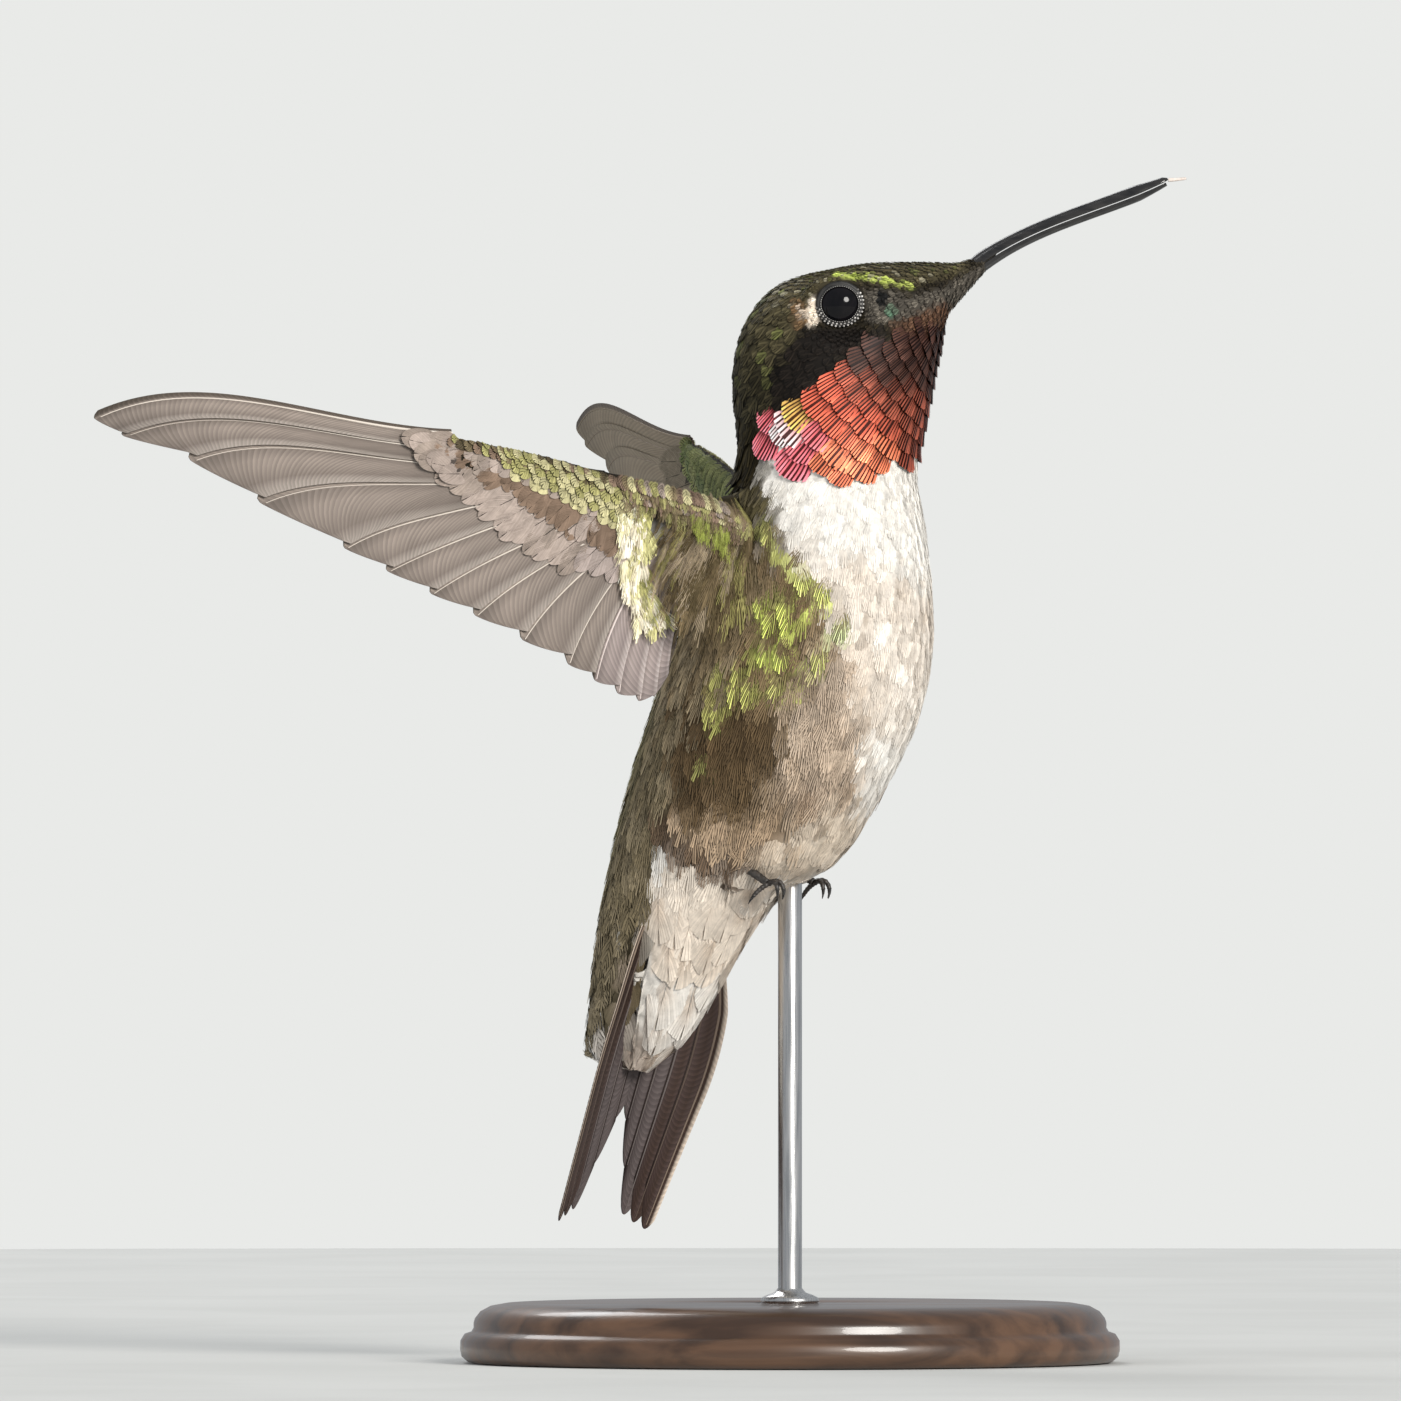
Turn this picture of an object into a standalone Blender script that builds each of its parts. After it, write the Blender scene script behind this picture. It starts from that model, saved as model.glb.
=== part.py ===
"""Ruby-throated hummingbird, adult male, in hovering pose on a plain round stand.

World frame: +Z up, the floor at z = 0, the stand's rod on the z axis. The bill points to +X and
the bird's right side faces -Y. Lengths below are millimetres and become metres on the way out.
"""

from dataclasses import dataclass
from math import cos, pi, radians, sin, sqrt, tan

import bmesh
import bpy
from mathutils import Vector

MM = 0.001

# Stand
BASE_RADIUS = 22.0
BASE_HEIGHT = 4.0
BASE_EDGE = 0.6
ROD_RADIUS = 0.8
ROD_PLAY = 0.2
ROD_FOOT = 1.5
ROD_TOP = 36.5

# Body
TRUNK_YAW = 20.0
NECK_X = 2.7
PARTING = 0.16
RING_POINTS = 24
RINGS_PER_SPAN = 2

# Eyes
EYE_CENTRE = (3.3, 70.6)
EYE_DEPTH = 2.95
EYE_RADIUS = 1.75
SOCKET_PLAY = 0.15

# Bill and tongue
BILL_BASE_DEPTH = 2.1
BILL_DEPTH = 1.05
BILL_BASE_WIDTH = 2.4
BILL_WIDTH = 1.0
BILL_SPLIT = 0.12
BILL_ARCH = 4.3
TONGUE_LENGTH = 1.1
TONGUE_RADIUS = 0.25

# Wings: distances along the span and down the chord from the shoulder
SHOULDER_BACK = 5.0
SHOULDER_SIDE = 3.9
SHOULDER_HEIGHT = 56.5
WING_SWEEP = 33.2
WING_SPAN = 52.0
VANE_THICKNESS = 0.56
VANE_GAP = 0.2
VANE_PLEAT = 0.16
LEADING_BOW = 1.75
WING_CAMBER = 0.9
WING_BEND = 1.6
SHOULDER_RADIUS = 1.9
SOCKET_CLEARANCE = 0.25
WRIST = 12.5
HAND_END = 22.8
PRIMARY_COUNT = 10
SECONDARY_COUNT = 6

# Tail
TAIL_YAW = 38.0
TAIL_ROOT = (-7.7, 29.0)
TAIL_LEAN = 15.0
TAIL_ARCH = 0.035
TAIL_HALF_ROOT = 3.0
TAIL_HALF_WIDTH = 7.0
RECTRIX_LENGTHS = (13.0, 15.6, 18.2, 20.2, 20.4)
RECTRIX_THICKNESS = 0.5
RECTRIX_GAP = 0.16
TAIL_SLOT = 0.2

# Legs and feet
FOOT_FORWARD = 6.3
FOOT_SIDE = 4.5
FOOT_HEIGHT = 31.95
LEG_RADIUS = 0.5
LEG_PLAY = 0.2
TOE_RADIUS = 0.3
TOE_LENGTH = 2.3


@dataclass(frozen=True)
class Section:
    """One slice of the body: its back and front edges in side view, half width and turn."""

    back: tuple
    front: tuple
    half_width: float
    turn: float
    fullness: float = 0.0


# From the bill to the ends of the tail coverts.
FRONT_OF_FACE = Section((11.5, 73.4), (11.0, 70.5), 1.35, 0)
FOREHEAD = Section((10.0, 73.5), (10.4, 68.9), 2.6, 0)
LORES = Section((7.7, 73.5), (10.1, 67.4), 3.6, 0)
BROW = Section((5.0, 73.4), (9.8, 66.1), 4.45, 0)
CROWN = Section((2.0, 72.7), (9.6, 64.9), 5.0, 0)
HIND_CROWN = Section((-0.7, 71.5), (9.4, 63.8), 5.25, 0)
OCCIPUT = Section((-2.9, 68.7), (9.2, 62.8), 5.35, 0)
NAPE = Section((-3.9, 65.2), (8.9, 61.5), 5.25, 1)
NECK = Section((-3.5, 61.5), (8.7, 59.9), 5.1, 4)
NECK_BASE = Section((-3.7, 58.9), (8.9, 58.2), 5.6, 9)
SHOULDERS = Section((-5.1, 56.3), (9.4, 55.5), 6.8, 14, 0.08)
BREAST = Section((-6.9, 51.5), (9.9, 48.5), 7.9, 20, 0.1)
MID_TRUNK = Section((-9.0, 45.5), (8.8, 42.5), 8.0, 20, 0.08)
BELLY = Section((-10.7, 40.1), (6.1, 37.1), 7.3, 20, 0.05)
LOWER_BELLY = Section((-11.9, 35.5), (3.5, 33.1), 6.2, 22)
VENT = Section((-12.6, 32.2), (-0.2, 31.1), 5.3, 26)
TAIL_BASE = Section((-13.1, 29.2), (-1.7, 29.2), 4.7, 31)
COVERTS = Section((-13.6, 25.2), (-4.2, 25.3), 3.9, 35)
COVERT_ENDS = Section((-13.9, 21.9), (-6.5, 21.5), 3.0, 38)
COVERT_TIPS = Section((-14.1, 20.2), (-9.3, 19.1), 1.5, 38)

BODY = (
    FRONT_OF_FACE, FOREHEAD, LORES, BROW, CROWN, HIND_CROWN, OCCIPUT, NAPE, NECK, NECK_BASE,
    SHOULDERS, BREAST, MID_TRUNK, BELLY, LOWER_BELLY, VENT, TAIL_BASE, COVERTS, COVERT_ENDS,
    COVERT_TIPS,
)
HEAD_END = 7.4
NECK_END = 8.9
TRUNK_END = 15.2
RUMP_END = 16.1
BODY_END = 19.0

# Tip of each primary from the outermost in, then of each secondary, as (span, chord).
PRIMARY_TIPS = (
    (51.4, -6.3), (49.6, -5.2), (44.4, -3.8), (39.2, -1.1), (32.0, 2.1),
    (28.6, 3.6), (25.1, 5.1), (21.6, 6.5), (17.8, 8.1), (13.8, 9.8),
)
SECONDARY_TIPS = ((11.6, 10.9), (9.7, 11.8), (7.9, 12.4), (6.6, 12.2), (5.6, 11.0), (5.0, 9.2))


# ---------------------------------------------------------------- scene helpers

def clear_scene():
    for thing in list(bpy.data.objects):
        bpy.data.objects.remove(thing, do_unlink=True)


def collection(name, hidden=False):
    group = bpy.data.collections.new(name)
    bpy.context.scene.collection.children.link(group)
    group.hide_render = hidden
    return group


def finish(name, colour, roughness=0.6, metallic=0.0):
    made = bpy.data.materials.new(name)
    made.use_nodes = True
    shader = made.node_tree.nodes["Principled BSDF"]
    shader.inputs["Base Color"].default_value = (*colour, 1.0)
    shader.inputs["Roughness"].default_value = roughness
    shader.inputs["Metallic"].default_value = metallic
    return made


def add(name, bm, group, material=None):
    """Turns a closed bmesh in millimetres into an object in metres."""
    bmesh.ops.remove_doubles(bm, verts=bm.verts, dist=1e-5)
    bmesh.ops.recalc_face_normals(bm, faces=bm.faces)
    bmesh.ops.scale(bm, vec=(MM, MM, MM), verts=bm.verts)
    mesh = bpy.data.meshes.new(name)
    bm.to_mesh(mesh)
    bm.free()
    made = bpy.data.objects.new(name, mesh)
    group.objects.link(made)
    if material:
        mesh.materials.append(material)
    return made


def cutter(name, bm, group):
    made = add(name, bm, group)
    made.hide_render = True
    made.display_type = "WIRE"
    return made


def cut(target, tool, operation="DIFFERENCE"):
    step = target.modifiers.new(operation.title(), "BOOLEAN")
    step.operation = operation
    step.solver = "EXACT"
    step.object = tool


def mix(a, b, t):
    return a + (b - a) * t


# ---------------------------------------------------------------- shape helpers

def loft(rings):
    """Closed body through rings of equal count, with flat ends."""
    bm = bmesh.new()
    rows = [[bm.verts.new(p) for p in ring] for ring in rings]
    count = len(rows[0])
    for a, b in zip(rows, rows[1:]):
        for i in range(count):
            j = (i + 1) % count
            bm.faces.new((a[i], a[j], b[j], b[i]))
    for row in (rows[0], rows[-1]):
        middle = bm.verts.new(sum((v.co for v in row), Vector()) / count)
        for i in range(count):
            bm.faces.new((row[i], row[(i + 1) % count], middle))
    return bm


def ball(centre, radius, across=14, up=8):
    bm = bmesh.new()
    bmesh.ops.create_uvsphere(bm, u_segments=across, v_segments=up, radius=radius)
    bmesh.ops.translate(bm, vec=centre, verts=bm.verts)
    return bm


def tube(path, radii, sides=8, flat=1.0):
    """Round limb along a path: flat squeezes it across the local side direction."""
    rings = []
    for k, centre in enumerate(path):
        ahead = path[min(k + 1, len(path) - 1)] - path[max(k - 1, 0)]
        ahead.normalize()
        side = ahead.cross(Vector((0, 0, 1)))
        if side.length < 0.2:
            side = ahead.cross(Vector((1, 0, 0)))
        side.normalize()
        over = side.cross(ahead)
        ring = []
        for i in range(sides):
            a = 2 * pi * i / sides
            ring.append(centre + side * (radii[k] * flat * cos(a)) + over * (radii[k] * sin(a)))
        rings.append(ring)
    return loft(rings)


def plate(rows):
    """Open sheet through rows of points, thickened later by Solidify."""
    bm = bmesh.new()
    grid = [[bm.verts.new(p) for p in row] for row in rows]
    for a, b in zip(grid, grid[1:]):
        for i in range(len(a) - 1):
            bm.faces.new((a[i], a[i + 1], b[i + 1], b[i]))
    return bm


def thicken(target, thickness):
    step = target.modifiers.new("Thickness", "SOLIDIFY")
    step.thickness = thickness * MM
    step.offset = 0.0
    step.use_rim = True


def sheet(name, rows, thickness, group, material):
    """Vane of even thickness through rows of points."""
    bm = plate(rows)
    bmesh.ops.scale(bm, vec=(MM, MM, MM), verts=bm.verts)
    mesh = bpy.data.meshes.new(name)
    bm.to_mesh(mesh)
    bm.free()
    mesh.materials.append(material)
    made = bpy.data.objects.new(name, mesh)
    group.objects.link(made)
    thicken(made, thickness)
    return made


# ---------------------------------------------------------------- body

def smooth_value(values, s):
    """Catmull-Rom curve through evenly spaced values."""
    k = min(int(s), len(values) - 2)
    t = s - k
    p1, p2 = values[k], values[k + 1]
    p0 = values[k - 1] if k > 0 else 2 * p1 - p2
    p3 = values[k + 2] if k + 2 < len(values) else 2 * p2 - p1
    return 0.5 * (
        2 * p1 + (p2 - p0) * t + (2 * p0 - 5 * p1 + 4 * p2 - p3) * t * t
        + (3 * p1 - p0 - 3 * p2 + p3) * t * t * t
    )


def section_ring(s):
    """Ring of points of the body at place s along the list of sections."""
    def at(pick):
        return smooth_value([pick(part) for part in BODY], s)

    back_x, back_z = at(lambda q: q.back[0]), at(lambda q: q.back[1])
    front_x, front_z = at(lambda q: q.front[0]), at(lambda q: q.front[1])
    wide = at(lambda q: q.half_width)
    turn = radians(at(lambda q: q.turn))
    full = at(lambda q: q.fullness)
    centre_x, centre_z = (back_x + front_x) / 2, (back_z + front_z) / 2
    side = Vector((-sin(turn), -cos(turn), 0))
    reach = (front_x - back_x) / 2
    deep = sqrt(max(reach**2 - (wide * sin(turn)) ** 2, 0.05)) / cos(turn)
    if reach < 0:
        deep = -deep
    forward = Vector((cos(turn) * deep, -sin(turn) * deep, (front_z - back_z) / 2))
    centre = Vector((centre_x, -tan(radians(TRUNK_YAW)) * min(centre_x, NECK_X), centre_z))
    if s < BODY.index(NECK_BASE):
        centre.y = -tan(radians(TRUNK_YAW)) * NECK_X
    ring = []
    for i in range(RING_POINTS):
        a = 2 * pi * i / RING_POINTS
        ring.append(centre + forward * cos(a) + side * (wide * sin(a) * (1 + full * cos(a))))
    return ring


def body_part(start, end):
    """Length of the body between two places, a parting's width short at each end."""
    steps = max(2, round((end - start) * RINGS_PER_SPAN))
    return loft([section_ring(mix(start, end, k / steps)) for k in range(steps + 1)])


def parting(s):
    """How far a parting's half width is, as a share of the space between sections."""
    a, b = section_ring(s - 0.1), section_ring(s + 0.1)
    middle = (sum(b, Vector()) - sum(a, Vector())).length / len(a)
    return PARTING / 2 * 0.2 / middle


def make_body(group, tools):
    head = add("head", body_part(0.0, HEAD_END - parting(HEAD_END)), group,
               finish("Crown and gorget", (0.10, 0.14, 0.06)))
    neck = add("neck", body_part(HEAD_END + parting(HEAD_END), NECK_END - parting(NECK_END)),
               group, finish("Neck feathers", (0.30, 0.26, 0.20)))
    trunk = add("trunk", body_part(NECK_END + parting(NECK_END), TRUNK_END - parting(TRUNK_END)),
                group, finish("Breast feathers", (0.72, 0.69, 0.62)))
    rump = add("rump", body_part(TRUNK_END + parting(TRUNK_END), RUMP_END - parting(RUMP_END)),
               group, finish("Rump feathers", (0.45, 0.44, 0.34)))
    for side, word in ((1, "right"), (-1, "left")):
        socket = cutter(f"socket_eye_{word}", ball(eye_centre(side), EYE_RADIUS + SOCKET_PLAY),
                        tools)
        cut(head, socket)
        shoulder = cutter(f"socket_shoulder_{word}",
                          ball(wing_point(side, 0, 0, 0), SHOULDER_RADIUS + SOCKET_CLEARANCE),
                          tools)
        cut(trunk, shoulder)
        path = leg_points(side)
        path[0] = path[0] + (path[0] - path[1]).normalized() * LEG_PLAY
        leg = cutter(f"socket_leg_{word}", tube(path, [LEG_RADIUS + LEG_PLAY] * 5, 10), tools)
        cut(trunk, leg)
    hole = cutter("hole_rod_body", rod_shape(ROD_RADIUS + ROD_PLAY, 26.0, ROD_TOP + 0.3), tools)
    cut(trunk, hole)
    make_coverts(group, tools)
    return head, neck, trunk, rump


# ---------------------------------------------------------------- head fittings

def eye_centre(side):
    y = -tan(radians(TRUNK_YAW)) * NECK_X - side * EYE_DEPTH
    return Vector((EYE_CENTRE[0], y, EYE_CENTRE[1]))


def make_eyes(group):
    for side, word in ((1, "right"), (-1, "left")):
        add(f"eye_{word}", ball(eye_centre(side), EYE_RADIUS), group,
            finish(f"Eye {word}", (0.01, 0.01, 0.012), 0.08))


def bill_line(t):
    """Middle of the bill from its base (0) to its tip (1), arched most near the base."""
    start, end = Vector((11.52, 0, 72.4)), Vector((25.2, 0, 78.85))
    point = start.lerp(end, t)
    across = Vector((start.z - end.z, 0, end.x - start.x)).normalized()
    point += across * (BILL_ARCH * t * (1 - t) ** 2)
    point.y = -tan(radians(TRUNK_YAW)) * NECK_X
    face = Vector((0.17, 0, 0.985))
    return point, face.lerp(across, min(t / 0.12, 1)).normalized()


def bill_half(upper):
    """One mandible: the part of the round bill above or below the parting line of the mouth."""
    rings = []
    last = 1.0 if upper else 0.985
    for k in range(13):
        t = last * (k / 12) ** 1.15
        middle, across = bill_line(t)
        deep = mix(BILL_DEPTH, BILL_BASE_DEPTH, (1 - t) ** 6)
        wide = mix(BILL_WIDTH, BILL_BASE_WIDTH, (1 - t) ** 3)
        point = mix(1, 0.55, max(t - 0.85, 0) / 0.15)
        deep, wide = deep * point, wide * point
        mouth = -0.1 * deep
        ring = []
        for i in range(9):
            a = pi * i / 8
            side = Vector((0, -cos(a) * wide / 2, 0))
            if upper:
                height = mouth + BILL_SPLIT / 2 + (deep / 2 - mouth) * sin(a)
            else:
                height = mouth - BILL_SPLIT / 2 - (deep / 2 + mouth) * sin(a)
            ring.append(middle + side + across * height)
        ring.append(middle + across * (mouth + (BILL_SPLIT / 2 if upper else -BILL_SPLIT / 2)))
        rings.append(ring)
    return loft(rings)


def make_bill(group):
    horn = (0.02, 0.02, 0.022)
    add("bill_upper", bill_half(True), group, finish("Bill upper", horn, 0.25))
    add("bill_lower", bill_half(False), group, finish("Bill lower", horn, 0.3))
    tip, _ = bill_line(1.0)
    path = [tip + Vector((0.14 + TONGUE_LENGTH * k / 4, 0, 0.02 * k)) for k in range(5)]
    add("tongue", tube(path, (0.2, TONGUE_RADIUS, TONGUE_RADIUS, 0.22, 0.12), 6), group,
        finish("Tongue", (0.8, 0.76, 0.72), 0.3))


# ---------------------------------------------------------------- wings

def trunk_axes():
    yaw = radians(TRUNK_YAW)
    return Vector((cos(yaw), -sin(yaw), 0)), Vector((-sin(yaw), -cos(yaw), 0))


def wing_point(side, span, chord, above):
    """World place of a wing point. Side is 1 for the right wing and -1 for the left."""
    forward, right = trunk_axes()
    sweep = radians(WING_SWEEP)
    out = right * (side * cos(sweep)) - forward * sin(sweep)
    down = Vector((0, 0, -1))
    under = forward * cos(sweep) + right * (side * sin(sweep))
    root = forward * (2.34 / cos(radians(TRUNK_YAW)) - SHOULDER_BACK)
    root += right * (side * SHOULDER_SIDE)
    root.z = SHOULDER_HEIGHT
    sag = WING_BEND * (max(span, 0) / WING_SPAN) ** 2
    return root + out * span + down * chord + under * (above - sag)


def leading_edge(span):
    """Chord place of the wing's front edge."""
    t = span / WING_SPAN
    return -0.7 - 12.44 * t + 5.48 * t * t


def rear_of_arm(span):
    """Chord place of the back of the fleshy part, where the flight feathers start."""
    if span < WRIST:
        return mix(2.6, 1.9, span / WRIST)
    return mix(1.9, -2.9, (span - WRIST) / (HAND_END - WRIST))


def wing_flesh(side, start, end, rings=6, thick=(1.5, 1.1)):
    """Arm or hand: a flat oval from the front edge back to the flight feathers."""
    made = []
    for k in range(rings + 1):
        t = k / rings
        span = mix(start, end, t)
        front, rear = leading_edge(span), rear_of_arm(span) - VANE_GAP
        middle, half = (front + rear) / 2, (rear - front) / 2
        thickness = mix(thick[0], thick[1], t)
        ring = []
        for i in range(12):
            a = 2 * pi * i / 12
            chord = middle + half * cos(a)
            ring.append(wing_point(side, span, chord, thickness / 2 * sin(a)))
        made.append(ring)
    return made


def arm_shape(side):
    """Upper arm and forearm, from a round end in the shoulder socket to the wrist."""
    rings = []
    for span, half in ((-1.7, 0.7), (-1.2, 1.25), (-0.3, 1.75), (0.9, 1.65)):
        ring = []
        for i in range(12):
            a = 2 * pi * i / 12
            ring.append(wing_point(side, span, half * cos(a), half * 0.8 * sin(a)))
        rings.append(ring)
    return loft(rings + wing_flesh(side, 2.4, WRIST - 0.1, 5, (2.0, 1.5)))


def flight_rows(side, tips, roots, steps=5):
    """Rows of points over a fan of feathers, each a little pleated and round at its end.

    Tips and roots hold one more place than there are feathers: where the fan ends.
    """
    columns = []
    count = len(tips) - 1
    for f in range(count):
        tip, root = Vector(tips[f]), Vector(roots[f])
        near_tip, near_root = Vector(tips[f + 1]), Vector(roots[f + 1])
        gap = min((near_tip - tip).length, 4.0)
        for k in range(3 if f < count - 1 else 4):
            place = k / 3
            end = tip.lerp(near_tip, place)
            start = root.lerp(near_root, place)
            notch = (0.0, 0.08, 0.17, 0.17)[k]
            end = end + (start - end).normalized() * (notch * gap)
            column = []
            bow = LEADING_BOW * max(1 - (f + place) / 5, 0) * (start.x > WRIST)
            for j in range(steps + 1):
                t = j / steps
                flat = start.lerp(end, t) - Vector((0, bow * 6.75 * t * t * (1 - t)))
                rise = -WING_CAMBER * 4 * t * (1 - t) - VANE_PLEAT * (1 - place) * t
                column.append(wing_point(side, flat.x, flat.y, rise))
            columns.append(column)
    return columns


def make_wings(group):
    primary_roots = []
    for f in range(PRIMARY_COUNT - 1):
        span = mix(HAND_END + 0.35, 13.2, f / (PRIMARY_COUNT - 2))
        primary_roots.append((span, rear_of_arm(span) + VANE_GAP))
    primary_roots.insert(0, (HAND_END + 0.35, leading_edge(HAND_END) + 0.1))
    secondary_roots = []
    for f in range(SECONDARY_COUNT):
        span = mix(12.3, 4.6, f / (SECONDARY_COUNT - 1))
        secondary_roots.append((span, rear_of_arm(span) + VANE_GAP))
    wrist = Vector(secondary_roots[0]) + Vector((VANE_GAP, 0))
    primary_tips = (*PRIMARY_TIPS, Vector(SECONDARY_TIPS[0]) + Vector((VANE_GAP, -0.1)))
    primary_roots.append(wrist)
    elbow = Vector(secondary_roots[-1]) - Vector((0.5, 0))
    secondary_tips = (*SECONDARY_TIPS, Vector((4.2, 6.5)))
    secondary_roots.append(elbow)
    for side, word in ((1, "right"), (-1, "left")):
        add(f"wing_{word}_arm", arm_shape(side), group,
            finish(f"Wing lining {word}", (0.42, 0.42, 0.22)))
        add(f"wing_{word}_hand", loft(wing_flesh(side, WRIST + 0.15, HAND_END, 6)), group,
            finish(f"Hand coverts {word}", (0.46, 0.44, 0.28)))
        sheet(f"wing_{word}_primaries", flight_rows(side, primary_tips, primary_roots),
              VANE_THICKNESS, group, finish(f"Primaries {word}", (0.55, 0.52, 0.54)))
        sheet(f"wing_{word}_secondaries", flight_rows(side, secondary_tips, secondary_roots),
              VANE_THICKNESS, group, finish(f"Secondaries {word}", (0.60, 0.56, 0.58)))


# ---------------------------------------------------------------- tail

def tail_axes():
    """Down the tail, out to its right side and out of its underside."""
    yaw = radians(TAIL_YAW)
    lean = tan(radians(TAIL_LEAN))
    along = Vector((-lean, lean * tan(radians(TRUNK_YAW)), -1)).normalized()
    right = Vector((-sin(yaw), -cos(yaw), 0))
    right = (right - along * right.dot(along)).normalized()
    under = right.cross(along)
    return along, right, (under if under.x > 0 else -under)


def tail_point(along, right, under):
    a, r, u = tail_axes()
    root = Vector((TAIL_ROOT[0], -tan(radians(TRUNK_YAW)) * TAIL_ROOT[0], TAIL_ROOT[1]))
    return root + a * along + r * right + u * (under + TAIL_ARCH * right * right)


def tail_half(along):
    """Half width of the folded tail."""
    t = min(along / 11.0, 1.0)
    return mix(TAIL_HALF_ROOT, TAIL_HALF_WIDTH, sin(t * pi / 2)) - 0.02 * max(along - 12, 0)


def rectrix_rows(side, index):
    """One tail feather: the strip of it that shows, with a round end."""
    rows = []
    length = RECTRIX_LENGTHS[index - 1]
    bend = length - 2.2
    stops = [0.35 + (bend - 0.35) * k / 4 for k in range(5)]
    stops += [mix(bend, length, x) for x in (0.4, 0.72, 0.92, 1.0)]
    for along in stops:
        wide = tail_half(along)
        inner = wide * (index - 1) / 5 + RECTRIX_GAP / 2
        outer = wide * index / 5 - RECTRIX_GAP / 2
        middle, half = (inner + outer) / 2, (outer - inner) / 2
        if along > bend:
            half *= sqrt(max(1 - ((along - bend) / (length - bend)) ** 2, 0.12))
        rows.append([tail_point(along, side * (middle + half * x), 0) for x in (-1, 0, 1)])
    return rows


def slab(start, end, face, back):
    """Long block along the tail whose curved face follows the tail's arch."""
    rings = []
    for along in (start, end):
        ring = [tail_point(along, -9 + 18 * k / 12, face) for k in range(13)]
        ring += [tail_point(along, 9 - 18 * k / 12, back) for k in range(13)]
        rings.append(ring)
    return loft(rings)


def make_coverts(group, tools):
    """Feathers above and below the roots of the tail, either side of the tail's slot."""
    half = RECTRIX_THICKNESS / 2 + TAIL_SLOT
    above = cutter("slab_above_tail", slab(-6, 20, -half, -14), tools)
    below = cutter("slab_below_tail", slab(-6, 20, half, 14), tools)
    for name, tool, colour in (
        ("uppertail_coverts", above, (0.33, 0.36, 0.20)),
        ("undertail_coverts", below, (0.78, 0.75, 0.70)),
    ):
        made = add(name, body_part(RUMP_END + parting(RUMP_END), BODY_END), group,
                   finish(name.replace("_", " ").title(), colour))
        cut(made, tool, "INTERSECT")


def make_tail(group):
    for side, word in ((1, "right"), (-1, "left")):
        for index in range(1, 6):
            sheet(f"rectrix_{word}_{index}", rectrix_rows(side, index), RECTRIX_THICKNESS, group,
                  finish(f"Tail feather {word} {index}", (0.28, 0.24, 0.25)))


# ---------------------------------------------------------------- legs

def belly_point(forward, right, height):
    ahead, out = trunk_axes()
    point = ahead * (forward - 6.2 / cos(radians(TRUNK_YAW))) + out * right
    point.z = height
    return point


def leg_points(side):
    """Places down the short tarsus, from inside the belly to the toes."""
    top = belly_point(FOOT_FORWARD - 2.2, side * (FOOT_SIDE - 0.5), FOOT_HEIGHT + 0.6)
    low = belly_point(FOOT_FORWARD - 0.6, side * FOOT_SIDE, FOOT_HEIGHT)
    return [top.lerp(low, k / 4) for k in range(5)]


def toe_path(start, heading, out, curl):
    """Toe and claw, curling down and back under themselves."""
    path = []
    point = start.copy()
    for k in range(5):
        path.append(point.copy())
        turn = curl * k / 4
        step = heading * cos(turn) + Vector((0, 0, -1)) * sin(turn) + out * 0.15
        point = point + step.normalized() * (TOE_LENGTH / 4)
    return path


def foot_shape(side):
    """Three front toes and the hind toe round a small pad, as one closed body."""
    ahead, out = trunk_axes()
    centre = belly_point(FOOT_FORWARD + 0.45, side * FOOT_SIDE, FOOT_HEIGHT - 0.1)
    pieces = [ball(centre, 0.42, 8, 6)]
    for spread in (-0.5, 0.0, 0.5):
        heading = (ahead * 0.75 + out * side * spread + Vector((0, 0, 0.5))).normalized()
        radii = [TOE_RADIUS * x for x in (1.0, 1.0, 0.95, 0.8, 0.4)]
        pieces.append(tube(toe_path(centre, heading, out * side * spread, 2.3), radii, 5))
    heading = (ahead * -0.8 + out * side * 0.35 + Vector((0, 0, -0.4))).normalized()
    radii = [TOE_RADIUS * x for x in (1.0, 1.0, 0.9, 0.75, 0.4)]
    pieces.append(tube(toe_path(centre, heading, out * side * 0.2, 1.0), radii, 5))
    return pieces


def make_legs(group, tools):
    for side, word in ((1, "right"), (-1, "left")):
        radii = [LEG_RADIUS * x for x in (0.7, 1.0, 0.95, 0.85, 0.6)]
        add(f"leg_{word}", tube(leg_points(side), radii, 8), group,
            finish(f"Leg {word}", (0.12, 0.10, 0.09)))
        pieces = foot_shape(side)
        foot = add(f"foot_{word}", pieces[0], group, finish(f"Foot {word}", (0.05, 0.045, 0.04)))
        for n, piece in enumerate(pieces[1:]):
            cut(foot, cutter(f"toe_{word}_{n}", piece, tools), "UNION")


# ---------------------------------------------------------------- stand

def rod_shape(radius, bottom, top, sides=20):
    bm = bmesh.new()
    bmesh.ops.create_cone(bm, cap_ends=True, segments=sides, radius1=radius, radius2=radius,
                          depth=top - bottom)
    bmesh.ops.translate(bm, vec=(0, 0, (top + bottom) / 2), verts=bm.verts)
    return bm


def make_stand(group, tools):
    bm = bmesh.new()
    bmesh.ops.create_cone(bm, cap_ends=True, segments=48, radius1=BASE_RADIUS,
                          radius2=BASE_RADIUS, depth=BASE_HEIGHT)
    bmesh.ops.translate(bm, vec=(0, 0, BASE_HEIGHT / 2), verts=bm.verts)
    base = add("stand_base", bm, group, finish("Base wood", (0.10, 0.05, 0.03), 0.4))
    edge = base.modifiers.new("Edge", "BEVEL")
    edge.width = BASE_EDGE * MM
    edge.segments = 2
    edge.limit_method = "ANGLE"
    hole = cutter("hole_rod_base", rod_shape(ROD_RADIUS + ROD_PLAY, ROD_FOOT - 0.25, 9), tools)
    cut(base, hole)
    add("stand_rod", rod_shape(ROD_RADIUS, ROD_FOOT, ROD_TOP), group,
        finish("Rod steel", (0.6, 0.6, 0.6), 0.3, 1.0))


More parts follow.
